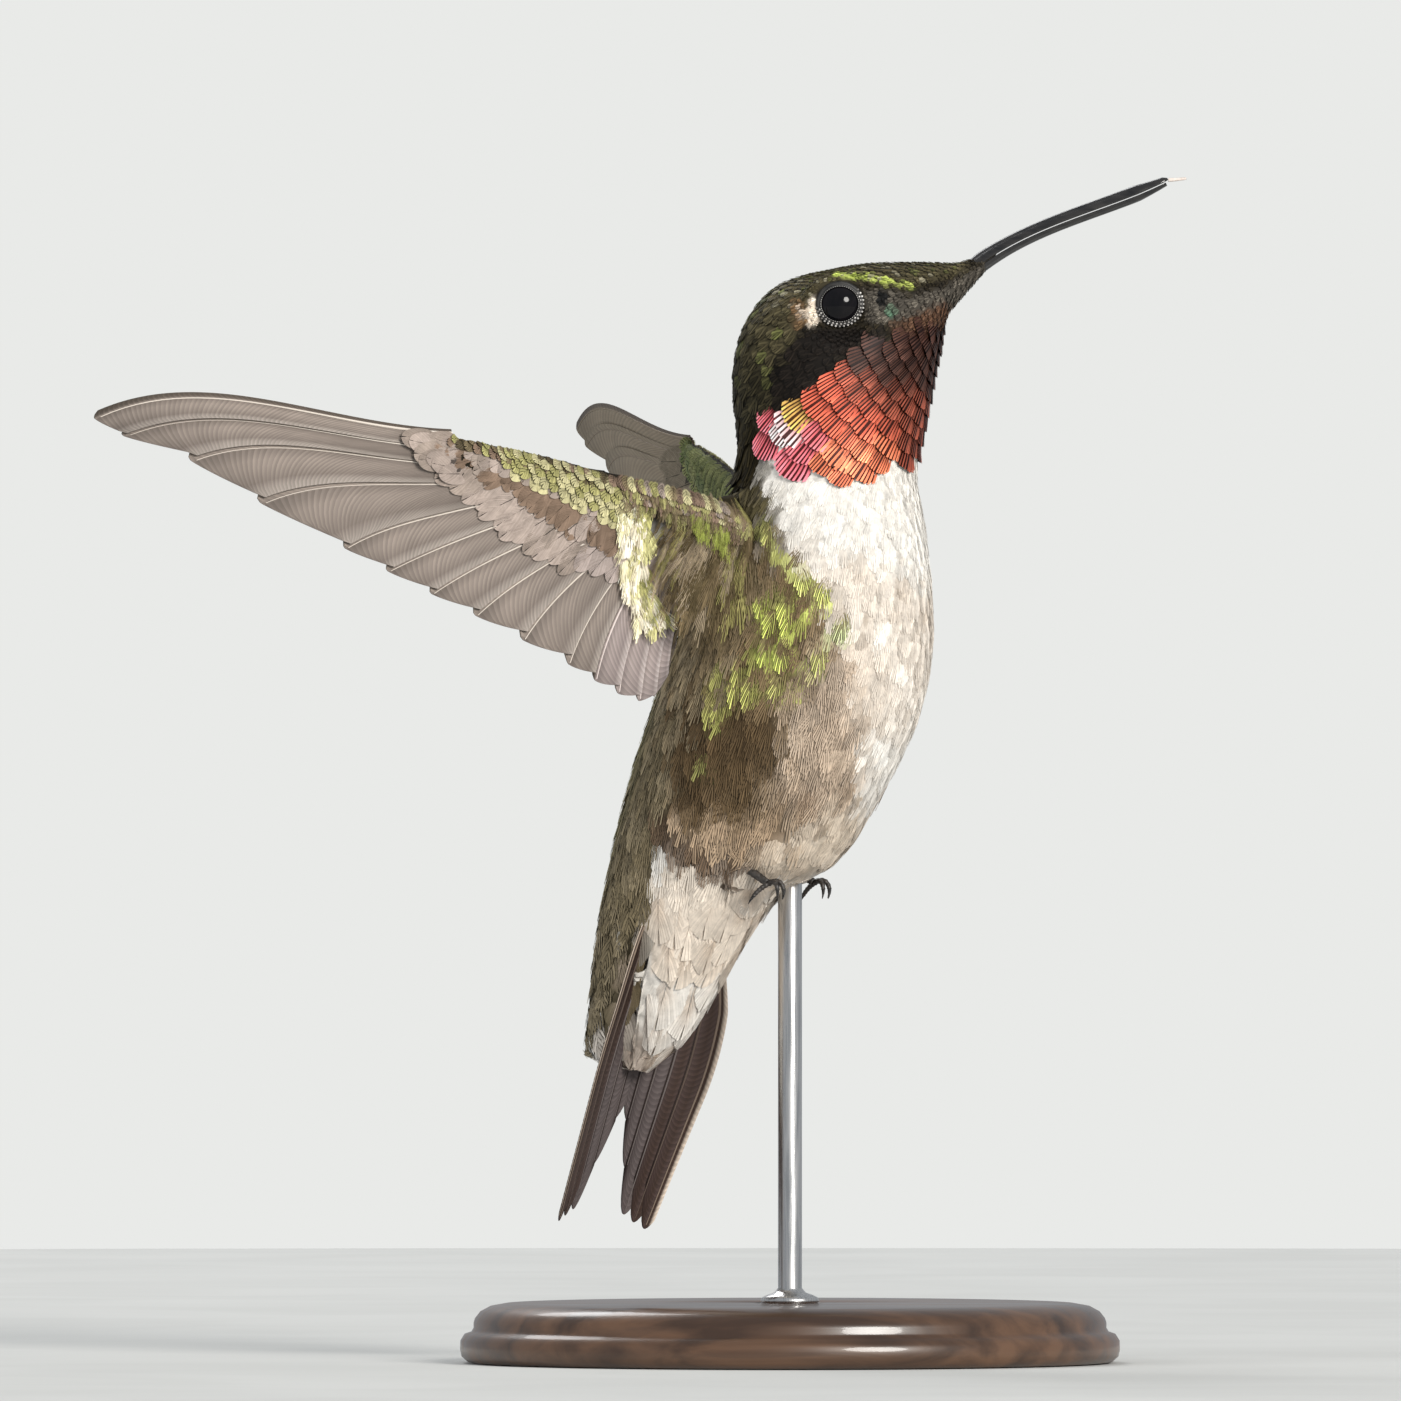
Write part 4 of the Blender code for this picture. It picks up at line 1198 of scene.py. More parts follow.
@dataclass
class BodyCoat:
    """The small feathers of head, trunk and tail coverts."""

    markings: Markings
    skin_points: Array
    skin_faces: Array
    drape: Drape
    seed: int = 7
    eye: tuple[float, float] = (3.3, 70.6)
    lid: float = 1.42
    growth: tuple = ((0, 3, 8, 14, 19, 26, 40, 60), (0.5, 0.66, 0.85, 1.15, 2.1, 2.8, 3.2, 3.6))
    gorget: tuple = ((14.0, 69.7), (10.3, 69.3), (7.3, 68.6), (4.8, 67.9), (3.5, 67.1), (2.1, 65.8),
        (0.8, 64.5), (-0.5, 64.0), (-2.0, 63.4), (-2.4, 62.3), (-1.8, 60.3), (-1.1, 59.6), (0.7, 59.1),
        (3.0, 58.8), (5.3, 59.1), (6.8, 59.5), (8.7, 60.1), (14.0, 60.1))
    # Where the nape's feathers stand off and grow longer.
    flare: tuple[float, float, float] = (-4.2, 0.0, 60.8)

    def __post_init__(self) -> None:
        """Seed the random source."""
        self.rng = np.random.default_rng(self.seed)

    def length(self, p: Array) -> Array:
        """Length of the feathers at points: shortest on the face and by the eye."""
        long = np.interp(np.linalg.norm(p - STANCE.parting, axis=1), *self.growth)
        return long * mix(0.5, 1.0, smooth(1.6, 4.0, self.from_eye(p)))

    def from_eye(self, p: Array) -> Array:
        """Distance of points from the middle of the nearer eye, in the side view."""
        return np.hypot(*(STANCE.profile(p) - self.eye).T)

    def lie(self, p: Array, normal: Array) -> Array:
        """Direction the feathers point: away from the bill, then down the trunk to the tail.

        Args:
            p: points, one to a row.
            normal: the skin's normals there.

        Returns:
            Directions along the skin.
        """
        back = unit(p - STANCE.parting)
        down = unit(vec(-0.22, 0.08, -0.96) + 0 * p)
        tail = STANCE.tail_axes()[0] + 0 * p
        head = smooth(57, 64, p[:, 2])[:, None]
        low = 1 - smooth(28, 36, p[:, 2])[:, None]
        way = mix(mix(down, back, head), tail, low)
        for side in Side:
            root = STANCE.wing_root(side)
            off = p - root
            away = along(off, normal)
            near = 1 - smooth(2.0, 9.0, np.linalg.norm(off, axis=1))[:, None]
            below = smooth(-1, 3, -off[:, 2])[:, None]
            way = mix(way, unit(away + 0.6 * down), near * below * 0.8)
        way = way + 0.12 * self.rng.normal(size=p.shape)
        return along(way, normal)

    def sample(self, low: float, high: float, per_area: float) -> tuple:
        """Random places on the skin between two heights, and its normals there.

        Args:
            low: least height.
            high: greatest height.
            per_area: places to a square millimetre.

        Returns:
            Places and normals.
        """
        a, b, c = (self.skin_points[self.skin_faces[:, k]] for k in range(3))
        cross = np.cross(b - a, c - a)
        area = np.linalg.norm(cross, axis=1) / 2
        middle = (a + b + c) / 3
        inside = (middle[:, 2] > low) & (middle[:, 2] <= high)
        for side in Side:
            span = STANCE.wing_coords(side, middle)[:, 0]
            inside &= ~((span > 4.6) & (middle[:, 2] > 49))
        area = area * inside
        pick = self.rng.choice(len(area), int(area.sum() * per_area), p=area / area.sum())
        u, v = self.rng.random((2, len(pick), 1))
        flip = (u + v) > 1
        u, v = np.where(flip, 1 - u, u), np.where(flip, 1 - v, v)
        return a[pick] + u * (b - a)[pick] + v * (c - a)[pick], unit(cross)[pick]

    def roots(self, low: float, high: float, pack: float, per_area: float) -> tuple:
        """Scatter roots over the skin between two heights.

        Args:
            low: least height.
            high: greatest height.
            pack: spacing as a share of the feathers' length.
            per_area: candidates to a square millimetre.

        Returns:
            Places and normals of the roots.
        """
        places, normals = self.sample(low, high, per_area)
        kept = scatter(places, pack * self.length(places))
        return places[kept], normals[kept]

    def bed(self, places: Array, normals: Array, slim: float, lift: float) -> Bed:
        """Feathers at roots, with the size, lie and colours of their place.

        Args:
            places: the roots.
            normals: the skin's normals there.
            slim: width as a share of the length.
            lift: how far the tip of a feather one millimetre long stands off.

        Returns:
            The feathers, ready to be laid.
        """
        n = len(places)
        long = self.length(places) * self.rng.uniform(0.88, 1.14, n)
        lie = self.lie(places, normals)
        colour = self.markings.at(places + 0.8 * long[:, None] * lie, self.rng)
        colour[:, :3] *= self.rng.uniform(0.86, 1.12, (n, 1))
        bright = smooth(0.1, 0.6, colour[:, 1])[:, None]
        under = colour * vec(1, 1, 1, 0.3) * mix(0.5, 0.95, bright)
        off = (STANCE.folded(places) - vec(*self.flare)) / vec(1.9, 1, 2.6)
        flare = np.exp(-off[:, 0] ** 2 - off[:, 2] ** 2)
        return Bed(places, normals, lie, long * (1 + 0.35 * flare), long * slim * self.rng.uniform(0.9, 1.1,
            n), (lift + 0.5 * flare * self.rng.random(n)) * long ** 0.5, colour, under,
            STANCE.body_unwrap(places))

    def head(self) -> Sheaf:
        """Small close feathers of the face, crown and nape."""
        sheaf = Sheaf("coat_head")
        places, normals = self.roots(56.5, 90, 0.36, 60)
        view = STANCE.profile(places)
        keep = (self.from_eye(places) > self.lid) & (places[:, 0] < 13.3)
        keep &= inside_by(self.gorget, view - vec(0, 0.2)) < 0.25
        keep &= ~((places[:, 2] < 61.0) & (view[:, 0] > -2.2))
        bed = self.bed(places[keep], normals[keep], 0.62, 0.13)
        bed = bed.part(self.from_eye(bed.root + bed.length[:, None] * bed.lie) > self.lid + 0.12)
        bed.colour[:, :3] *= self.rng.uniform(0.62, 1.4, (len(bed.root), 1))
        fine = FeatherCut(barbs=5, steps=2, fill=0.8, contrast=0.3, relief=0.04, backing=True, sweep=0.8,
            rag=0.2, root=(0.2, 0.7))
        Thatch(fine, self.drape, self.rng).lay(bed, sheaf)
        return sheaf

    def trunk(self, side: Side) -> Sheaf:
        """Soft long-barbed feathers of one half of the trunk."""
        sheaf = Sheaf(f"coat_trunk_{side.word}")
        places, normals = self.roots(31.5, 61.6, 0.22, 26)
        axis, base = STANCE.across(places)
        keep = ((places - base) * axis).sum(1) * side.value >= 0
        view = STANCE.profile(places)
        keep &= places[:, 2] <= np.where(view[:, 0] > -2.4, 61.2, 57.5)
        keep &= inside_by(self.gorget, view) < 0.8
        bed = self.bed(places[keep], normals[keep], 0.46, 0.12)
        glossy = (bed.colour[:, 3] > 0.24) & (np.abs(STANCE.body_place(bed.root)[1]) < 2.4)
        shiny = bed.part(glossy)
        bed.colour[glossy] = vec(0.2, 0.155, 0.08, 0.05)
        silk = bed.colour[:, 1] > 0.42
        bed.lift[silk] *= 0.5
        gain = self.rng.uniform(0.8, 1.25, ((~silk).sum(), 1))
        calm = smooth(0.35, 0.7, bed.colour[~silk, 1:2])
        bed.colour[~silk, :3] *= 1 + (gain - 1) * (1 - 0.6 * calm)
        hair = FeatherCut(barbs=8, steps=3, fill=0.6, rag=0.3, contrast=0.1, relief=0.03, sweep=0.95,
            root=(0.0, 0.5))
        for cut, pick in ((hair, ~silk), (replace(hair, fill=0.8, rag=0.12, contrast=0.05, relief=0.012),
                silk)):
            Thatch(cut, self.drape, self.rng).lay(bed.part(pick), sheaf)
        shiny = shiny.part(scatter(shiny.root, np.full(len(shiny.root), 0.85)))
        shiny.width = 0 * shiny.width + 1.45
        shiny.lift = shiny.lift * 1.5
        scale = FeatherCut(barbs=6, steps=3, fill=0.42, rag=0.2, contrast=0.35, relief=0.05, sweep=0.75,
            first=75.0, root=(0.25, 0.75))
        shiny.under = vec(0.22, 0.17, 0.085, 0.1) + 0 * shiny.under
        Thatch(scale, self.drape, self.rng).lay(shiny, sheaf)
        return sheaf

    def rear(self) -> Sheaf:
        """Long layered feathers of the rump and of the tail's coverts."""
        sheaf = Sheaf("coat_tail_coverts")
        places, normals = self.roots(18, 33.5, 0.3, 14)
        _, turn = STANCE.body_place(places)
        below = np.abs(turn) < 1.9
        bed = self.bed(places, normals, 0.58, 0.14)
        pale = bed.part(below)
        pale = pale.part(scatter(pale.root, pale.length * mix(0.25, 0.44,
            smooth(20.5, 24, pale.root[:, 2]))))
        pale.length, pale.width = pale.length * 1.45, pale.width * 1.6
        centre = np.tile(vec(0.44, 0.34, 0.255, 0), (len(pale.root), 1))
        pale.under = mix(pale.colour, centre, self.rng.random((len(pale.root), 1)) ** 0.6)
        broad = FeatherCut(barbs=16, steps=3, fill=0.9, rag=0.04, contrast=0.03, relief=0.02, sweep=0.6,
            bloom=0.8)
        Thatch(broad, self.drape, self.rng).lay(pale, sheaf)
        upper = FeatherCut(barbs=8, steps=3, fill=0.72, rag=0.3, contrast=0.2, relief=0.05)
        Thatch(upper, self.drape, self.rng).lay(bed.part(~below), sheaf)
        return sheaf


@dataclass
class Gorget:
    """The ruby throat: rows of broad scales that grow from the chin out."""

    coat: BodyCoat
    chin: tuple[float, float] = (11.4, 70.7)
    # Distance from the chin to the first row, and the rows' gap there with its growth.
    first: float = 0.8
    gap: tuple[float, float] = (0.5, 0.06)
    # Painted sheen of the iridescent scales, as the key light shows it from the side: dark maroon at the
    # front, near black at the top, pink at the rear and orange below, a gold patch, and a painted highlight
    # in the pink-white oval.
    tints: tuple[Patch, ...] = (Patch(((1.6, 67), (4, 68.5), (12, 70), (12, 58), (8.0, 58), (7.0, 61),
        (5.4, 63.0), (3.4, 65.0)), (0.3, 0.075, 0.045), 0.4, 0.9),
        Patch(((-2, 68), (13, 71), (12, 65.0), (8.5, 64.4), (5.8, 65.2), (4.0, 66.3), (2.6, 66.2),
        (1.2, 65.6)), (0.075, 0.032, 0.023), 0.35, 0.5), Patch(((-4, 64.5), (-0.4, 64.8), (1.6, 62.5),
        (1.2, 58), (-4, 58)), (0.98, 0.19, 0.23), 0.4, 0.4), Patch(((1.2, 61), (6.6, 61.5), (7.6, 58.5),
        (1, 58)), (1.0, 0.26, 0.13), 0.5, 0.8), Patch(oval(-0.1, 63.3, 0.6, 0.5), (0.75, 0.46, 0.12), 0.5,
        0.15), Patch(oval(-0.2, 61.7, 0.6, 0.55), (1.0, 0.55, 0.55), 0.4, 0.2))

    def tips(self) -> tuple[Array, Array]:
        """Tips of the scales, row by row, and the gap of each one's row with its width."""
        coat, rng = self.coat, self.coat.rng
        chin = vec(self.chin[0], STANCE.neck_y, self.chin[1])
        places, _ = coat.sample(56.5, 73, 170)
        off = places - chin
        reach = np.linalg.norm(off, axis=1)
        turn = np.arctan2(off[:, 1], off @ vec(0.3, 0, -0.954))
        edges = np.radians(np.arange(-125, 126, 2.5))
        cell = np.digitize(turn, edges)
        found, gaps, old = [], [], None
        at = self.first
        while at < 19.0:
            gap = self.gap[0] + self.gap[1] * min(at, 12.5)
            near = np.abs(reach - at) < 0.12
            cells = [c for c in range(1, len(edges)) if (near & (cell == c)).any()]
            line = np.array([places[near & (cell == c)].mean(0) for c in cells])
            angle = edges[np.array(cells) - 1]
            walk = distances(line)
            pitch = 1.45 * gap
            marks = np.arange(pitch / 2, walk[-1], pitch)
            if old is not None:
                marks = np.interp(old, angle, walk)
                marks = (marks[1:] + marks[:-1]) / 2
                step = np.diff(marks)
                marks = np.sort(np.r_[marks, (marks[:-1] + step / 2)[step > 1.4 * pitch]])
                marks = marks[np.r_[True, np.diff(marks) > 0.55 * pitch]]
                marks = np.r_[np.arange(marks[0] - pitch, 0, -pitch)[::-1], marks,
                    np.arange(marks[-1] + pitch, walk[-1], pitch)]
            old = np.interp(marks, walk, angle)
            wide = 1.4 * np.clip(np.gradient(marks), 0.7 * pitch, 1.4 * pitch)
            marks = marks + rng.normal(0, 0.02 * pitch, len(marks))
            found.append(points_at(marks, walk, line))
            gaps.append(np.stack([np.full(len(marks), gap), wide], -1))
            at += gap
        return np.concatenate(found), np.concatenate(gaps).T

    def build(self) -> Sheaf:
        """Lay the scales, each with its root a little nearer the chin than its tip."""
        coat, rng = self.coat, self.coat.rng
        drape = coat.drape
        chin = vec(self.chin[0], STANCE.neck_y, self.chin[1])
        tip, (gap, wide) = self.tips()
        tip, out = drape.settle(tip)
        way = along(unit(tip - chin), out)
        middle = STANCE.profile(tip - 0.45 * gap[:, None] * way)
        keep = inside_by(coat.gorget, middle) > 0
        tip, way, gap, out, wide = (kind[keep] for kind in (tip, way, gap, out, wide))
        long = 2.5 * gap
        for share in (2.0, 1.7, 1.45):
            start = STANCE.profile(tip - long[:, None] * way)
            long = np.where(inside_by(coat.gorget, start) < -0.15, share * gap, long)
        root, normal = drape.settle(tip - long[:, None] * way)
        n = len(root)
        place = STANCE.profile(tip - 0.4 * gap[:, None] * way)
        colour = np.tile(vec(0.72, 0.135, 0.078, 0.45), (n, 1))
        # Lay the painted sheen and highlight over the ruby.
        for tint in self.tints:
            colour = tint.over(colour, place + rng.normal(0, 0.2, place.shape))
        colour[:, :3] *= rng.uniform(0.74, 1.22, (n, 1))
        # Scales towards the rear lighter: painted sheen.
        colour[:, :3] *= mix(1.0, 1.25, smooth(0.6, -0.4, place[:, :1]))
        # Dark roots, which the backing takes too: the scales' own darker bases, and painted shadow where
        # each row's tips overhang the next.
        under = colour * vec(0.12, 0.08, 0.08, 0.6) + vec(0.012, 0.003, 0.002, 0)
        way = unit(tip - root + 0.05 * rng.normal(size=way.shape))
        bed = Bed(root, normal, way, long * rng.uniform(0.97, 1.04, n), wide, 0.23 * long ** 0.5, colour,
            under, STANCE.body_unwrap(root))
        sheaf = Sheaf("coat_gorget")
        scale = FeatherCut(barbs=5, steps=4, fill=0.56, rag=0.03, contrast=0.14, relief=0.04,
            root=(0.38, 0.68), backing=True, fan=True, rim=0.35, back=0.5)
        Thatch(scale, drape, rng, dome=0.5).lay(bed, sheaf)
        return sheaf




# ---------- head fittings


@dataclass
class Eye:
    """Dark eye with its lids and the rings of tiny beads on them."""

    side: Side
    centre: tuple[float, float] = (3.3, 70.53)
    depth: float = 2.95
    radius: float = 1.72
    opening: tuple[float, float] = (1.29, 1.22)

    @property
    def middle(self) -> Array:
        """Centre of the ball."""
        y = STANCE.neck_y - self.side.value * self.depth
        return vec(self.centre[0], y, self.centre[1])

    def ring(self, stretch: float, rise: float, count: int = 48) -> Array:
        """Points round the eye, level with the edge of its opening.

        Args:
            stretch: size of the ring, as a share of the opening's.
            rise: how far the ring stands out from that edge.
            count: points in the ring.

        Returns:
            The ring's points.
        """
        turn = turns(count)
        x, z = self.opening[0] * np.cos(turn), self.opening[1] * np.sin(turn)
        out = np.sqrt(self.radius ** 2 - min(stretch, 0.95) ** 2 * (x * x + z * z)) + rise
        return self.middle + np.stack([x * stretch, -self.side.value * out, z * stretch], -1)

    def build(self, ball: Material, lid: Material, beads: Material) -> None:
        """Make the ball, the lids and their beads.

        Args:
            ball: the eyeball's finish.
            lid: the lids' finish.
            beads: the finish of the beads on the lids.
        """
        word = self.side.word
        eye = Solid(f"eyeball_{word}")
        turn = turns(40)
        rings = []
        for a in np.linspace(0.03, pi - 0.03, 26):
            y = -self.side.value * self.radius * cos(a) + 0 * turn
            r = self.radius * sin(a)
            rings.append(self.middle + np.stack([r * np.cos(turn), y, r * np.sin(turn)], -1))
        eye.loft(rings)
        eye.write(ball, "eye", f"eye_{word}")
        skin = Solid(f"eyelid_{word}")
        rows = [self.ring(*step) for step in ((0.94, -0.03), (0.95, 0.06), (0.98, 0.1), (1.02, 0.06),
            (1.05, 0.0), (1.12, 0.02), (1.18, 0.02), (1.24, -0.05), (1.28, -0.22), (1.26, -0.7),
            (1.1, -0.8), (0.95, -0.4))]
        bridge(skin.bm, rows, True)
        skin.write(lid, "head_feathers")
        studs = Solid(f"eyelid_beads_{word}")
        for stretch, rise, count, size in ((0.98, 0.1, 52, 0.032), (1.09, 0.04, 33, 0.07),
                (1.22, 0.02, 36, 0.08)):
            places = self.ring(stretch, rise, count)
            turn = turns(count)
            studs.balls(places[np.sin(turn - 0.4) < 0.3 + (stretch < 1.05)], size)
        studs.write(beads, "head_feathers")


@dataclass
class Bill:
    """Long thin bill in two halves, and the pale tongue tip between them."""

    start: tuple[float, float] = (11.52, 72.4)
    end: tuple[float, float] = (25.2, 78.85)
    arch: float = 4.3
    base: tuple[float, float] = (1.5, 1.6)
    tip: tuple[float, float] = (1.05, 1.0)
    split: float = 0.06
    face: tuple[float, float] = (0.17, 0.985)

    def line(self, t: float) -> tuple[Array, Array]:
        """Middle of the bill and its upward direction, from base (0) to tip (1)."""
        a, b = (vec(x, STANCE.neck_y, z) for x, z in (self.start, self.end))
        over = unit(vec(a[2] - b[2], 0, b[0] - a[0]))
        point = mix(a, b, t) + over * self.arch * t * (1 - t) ** 2
        return point, unit(mix(vec(self.face[0], 0, self.face[1]), over, min(t / 0.12, 1)))

    def half(self, name: str, upper: bool, material: Material) -> None:
        """Make one half, with the groove beside the ridge and the nostril's flap.

        Args:
            name: the piece's name.
            upper: whether it is the upper half.
            material: its finish.
        """
        made = Solid(name)
        rings = []
        sign = 1 if upper else -1
        for k in range(61):
            t = (1.0 if upper else 0.985) * (k / 60) ** 1.15
            middle, over = self.line(t)
            deep = mix(self.tip[0], self.base[0], (1 - t) ** 6)
            wide = mix(self.tip[1], self.base[1], (1 - t) ** 3)
            point = mix(1, 0.5, max(t - 0.85, 0) / 0.15) * (1 if t < 0.995 else 0.5)
            deep, wide = deep * point, wide * point
            mouth = -0.1 * deep
            ring = []
            for i in range(17):
                a = pi * i / 16
                groove = 1 - 0.1 * np.exp(-((abs(cos(a)) - 0.62) / 0.16) ** 2) * (t < 0.8)
                flap = 0.07 * np.exp(-((t - 0.13) / 0.05) ** 2 - ((abs(cos(a)) - 0.8) / 0.2) ** 2) * upper
                high = (deep / 2 - sign * mouth) * sin(a) * groove + self.split / 2
                wider = -cos(a) * (wide / 2 * groove + flap)
                ring.append(middle + vec(0, wider, 0) + over * (mouth + sign * high))
            inner = mouth + sign * (self.split / 2 + 0.06 * deep)
            ring.append(middle + vec(0, 0.3 * wide, 0) + over * inner)
            ring.append(middle - vec(0, 0.3 * wide, 0) + over * inner)
            rings.append(ring)
        made.loft(rings)
        made.write(material, "bill_horn", name.replace("horn", "bill"))

    def build(self, horn: Material, flesh: Material) -> None:
        """Make both halves and the tongue."""
        self.half("horn_upper", True, horn)
        self.half("horn_lower", False, horn)
        tip, _ = self.line(1.0)
        t = np.linspace(0, 1, 12)[:, None]
        path = tip + t * vec(1.2, 0, 0.07) + (t * t) * vec(0, 0, 0.03)
        tongue = Solid("tongue_tip")
        for fork in (-1, 1):
            spread = np.maximum(t - 0.45, 0) * vec(0, 0.16, 0.05) * fork
            tongue.tube(path + spread + vec(0, 0.07 * fork, 0), 0.13 * (1 - 0.55 * t[:, 0] ** 2), 8)
        tongue.write(flesh, "tongue", "tongue")


# ---------- wings


@dataclass
class VaneShade:
    """Colours across a flight feather, from its outer edge to its inner edge."""

    edge: Colour
    web: Colour
    inner: Colour
    shaft: Colour
    rim: Colour
    contrast: float = 0.1
    band: float = 0.06
    dim: float = 0.3

    def at(self, across: Array, shaft_at: float) -> Array:
        """Colour and gloss at shares of the way across, 0 to 1.

        Args:
            across: shares of the way across the feather.
            shaft_at: the shaft's share.

        Returns:
            Linear colour and gloss of each.
        """
        stops = (-0.2, self.band, self.band + 0.06, shaft_at - 0.02, shaft_at + 0.03, shaft_at + 0.3, 0.9,
            1.0, 1.2)
        row = (self.edge, self.edge, self.web, self.web, self.inner, self.web, self.inner, self.rim,
            self.rim)
        return np.stack([np.interp(across, stops, [c[k] for c in row]) for k in range(3)] + [0 * across],
            -1)


@dataclass
class LongFeather:
    """One flight or tail feather: barbs side by side along its shaft, and the shaft's ridge."""

    place: Callable[[Array, Array, Array], Array]
    across: Array
    size: float
    end: Array
    wide: float
    shaft_at: float
    shade: VaneShade
    side: Side
    face: Face
    centre: Array
    patch: Array
    barb: float = 0.19
    slant: float = 2.3

    def lay(self, sheaf: Sheaf, rng: np.random.Generator) -> None:
        """Add the feather to a sheaf.

        Args:
            sheaf: the piece it goes to.
            rng: random source for the barbs' unevenness.
        """
        p, cols, out = self.across, len(self.across), self.face.value
        off = np.abs(p - self.shaft_at)
        lean = self.slant * off * self.wide / self.size * rng.uniform(0.93, 1.07)
        count = int(self.size / (self.barb * (1 if out > 0 else 2)))
        ladder = np.linspace(-lean.max(), 1, count + 1)
        rows = []
        for tau, lift in ((ladder[:-1], -0.011), (np.minimum(ladder[1:] + 0.25 / count, 1), 0.011)):
            tau = tau[:, None]
            t = np.clip(tau + lean * (1 - tau) ** 0.4, 0, 1) * self.end
            rows.append(self.place(np.broadcast_to(p, t.shape), t, out * lift * smooth(0, 0.12, off)))
        points = np.stack(rows, 1)
        flip = self.side.value * out < 0
        faces = grid_faces(2 * count, cols, 2, flip)[((t[:, 1:] + t[:, :-1]) > 0).ravel()]
        colour = np.broadcast_to(self.shade.at(p, self.shaft_at), (count, 2, cols, 4)).copy()
        along = np.clip(ladder[:-1], 0, 1)[:, None, None, None]
        gain = 1 + self.shade.contrast * np.where(np.arange(count) % 2, 1, -1)
        gain = (gain * rng.uniform(0.94, 1.06, count))[:, None, None, None]
        colour[..., :3] *= gain * (1 - self.shade.dim * smooth(0.62, 1.0, along))
        # Each barb's lower, deeper edge darker: painted shade along the step between barbs.
        colour[:, 0, :, :3] *= 0.88
        unwrap = np.stack(np.broadcast_arrays(p[None, None] - 0.5, along[..., 0] - 0.5 + 0 * points[...,
            0]), -1)
        sheaf.add(points.reshape(-1, 3), faces, colour.reshape(-1, 4),
            (self.centre + unwrap * self.patch).reshape(-1, 2))
        t = np.linspace(0.0, 0.985, 28)
        s = np.full(28, self.shaft_at)
        step = unit(self.place(s + 0.01, t, 0) - self.place(s, t, 0))
        half = mix(0.11, 0.03, t ** 0.7)
        points = np.stack([self.place(s, t, out * (0.02 + half * y)) + x * half[:, None] * step
            for x, y in ((-1, 0), (-0.6, 0.7), (0.6, 0.7), (1, 0))], 1)
        sheaf.add(points.reshape(-1, 3), grid_faces(28, 4, 1, flip), np.tile(vec(*self.shade.shaft, 0),
            (112, 1)), np.tile(self.centre, (112, 1)))


@dataclass
class Fan:
    """A fan of flight feathers spread between the joints of one wing section."""

    name: str
    roots: Array
    tips: Array
    bow: float
    notch: float = 0.17
    shaft_at: float = 0.16
    tilt: float = 0.17
    pleat: float = 0.16

    def flat(self, g: Array, t: Array) -> Array:
        """Span and chord.

        Args:
            g: place across the fan, counted in feathers.
            t: place along the feather, 0 at its root and 1 at its tip.

        Returns:
            Wing coordinates on the last axis.
        """
        n = len(self.roots) - 1
        i = np.clip(np.floor(g).astype(int), 0, n - 1)
        u = (g - i)[..., None]
        root = mix(self.roots[i], self.roots[i + 1], u)
        tip = mix(self.tips[i], self.tips[i + 1], u)
        out = root + (tip - root) * t[..., None]
        sag = self.bow * np.maximum(1 - g / 5, 0) * 6.75 * t * t * (1 - t)
        out[..., 1] -= sag
        return out

    def above(self, p: Array, t: Array, face: Face) -> Array:
        """Height out of the wing's underside, at share p across a feather.

        Args:
            p: shares of the way across the feather.
            t: shares of the way along it.
            face: lining or upper side.

        Returns:
            Heights.
        """
        camber = -STANCE.wing_camber * 4 * t * (1 - t)
        lap = self.tilt * (p - 0.5) * smooth(-0.1, 0.3, t)
        hollow = -0.05 * (1 - ((p - 0.65) / 0.45) ** 2) * smooth(0, 0.3, t)
        return camber - self.pleat * (1 - p) * t + lap + hollow - 0.05 * (face is Face.UPPER)

    def feather(self, side: Side, index: int, face: Face, shade: VaneShade) -> LongFeather:
        """Set out one feather.

        Args:
            side: which wing.
            index: which feather, from the outermost in.
            face: lining or upper side.
            shade: its colours.

        Returns:
            The feather.
        """
        p = vec(-0.11, -0.02, 0.07, 0.13, 0.16, 0.19, 0.28, 0.42, 0.56, 0.7, 0.84, 0.97, 1.08)
        gap = float(np.linalg.norm(self.tips[index + 1] - self.tips[index]))
        size = float(np.linalg.norm(self.tips[index] - self.roots[index]))
        wide = float(np.linalg.norm(self.flat(vec(index + 1.0), vec(0.7)) - self.flat(vec(index + 0.0),
            vec(0.7))))
        off = p - self.shaft_at
        recess = np.where(off < 0, 0.4 * (off / 0.27) ** 2 * wide, self.notch * min(gap, 4.0)
            * (np.maximum(off, 0) / 0.84) ** 1.7)
        if index == 0:
            shade = replace(shade, edge=(0.1, 0.08, 0.065))

        def place(p: Array, t: Array, rise: Array) -> Array:
            """Point of the feather, risen out of its face."""
            flat = self.flat(index + p, t)
            return STANCE.wing_place(side, flat[..., 0], flat[..., 1], self.above(p, t, face) + rise)

        centre = face.unwrap(self.flat(vec(index + 0.5), vec(0.5))[0])
        return LongFeather(place, p, size, 1 - recess / size, wide, self.shaft_at, shade, side, face,
            centre, vec(0.01, 0.08))


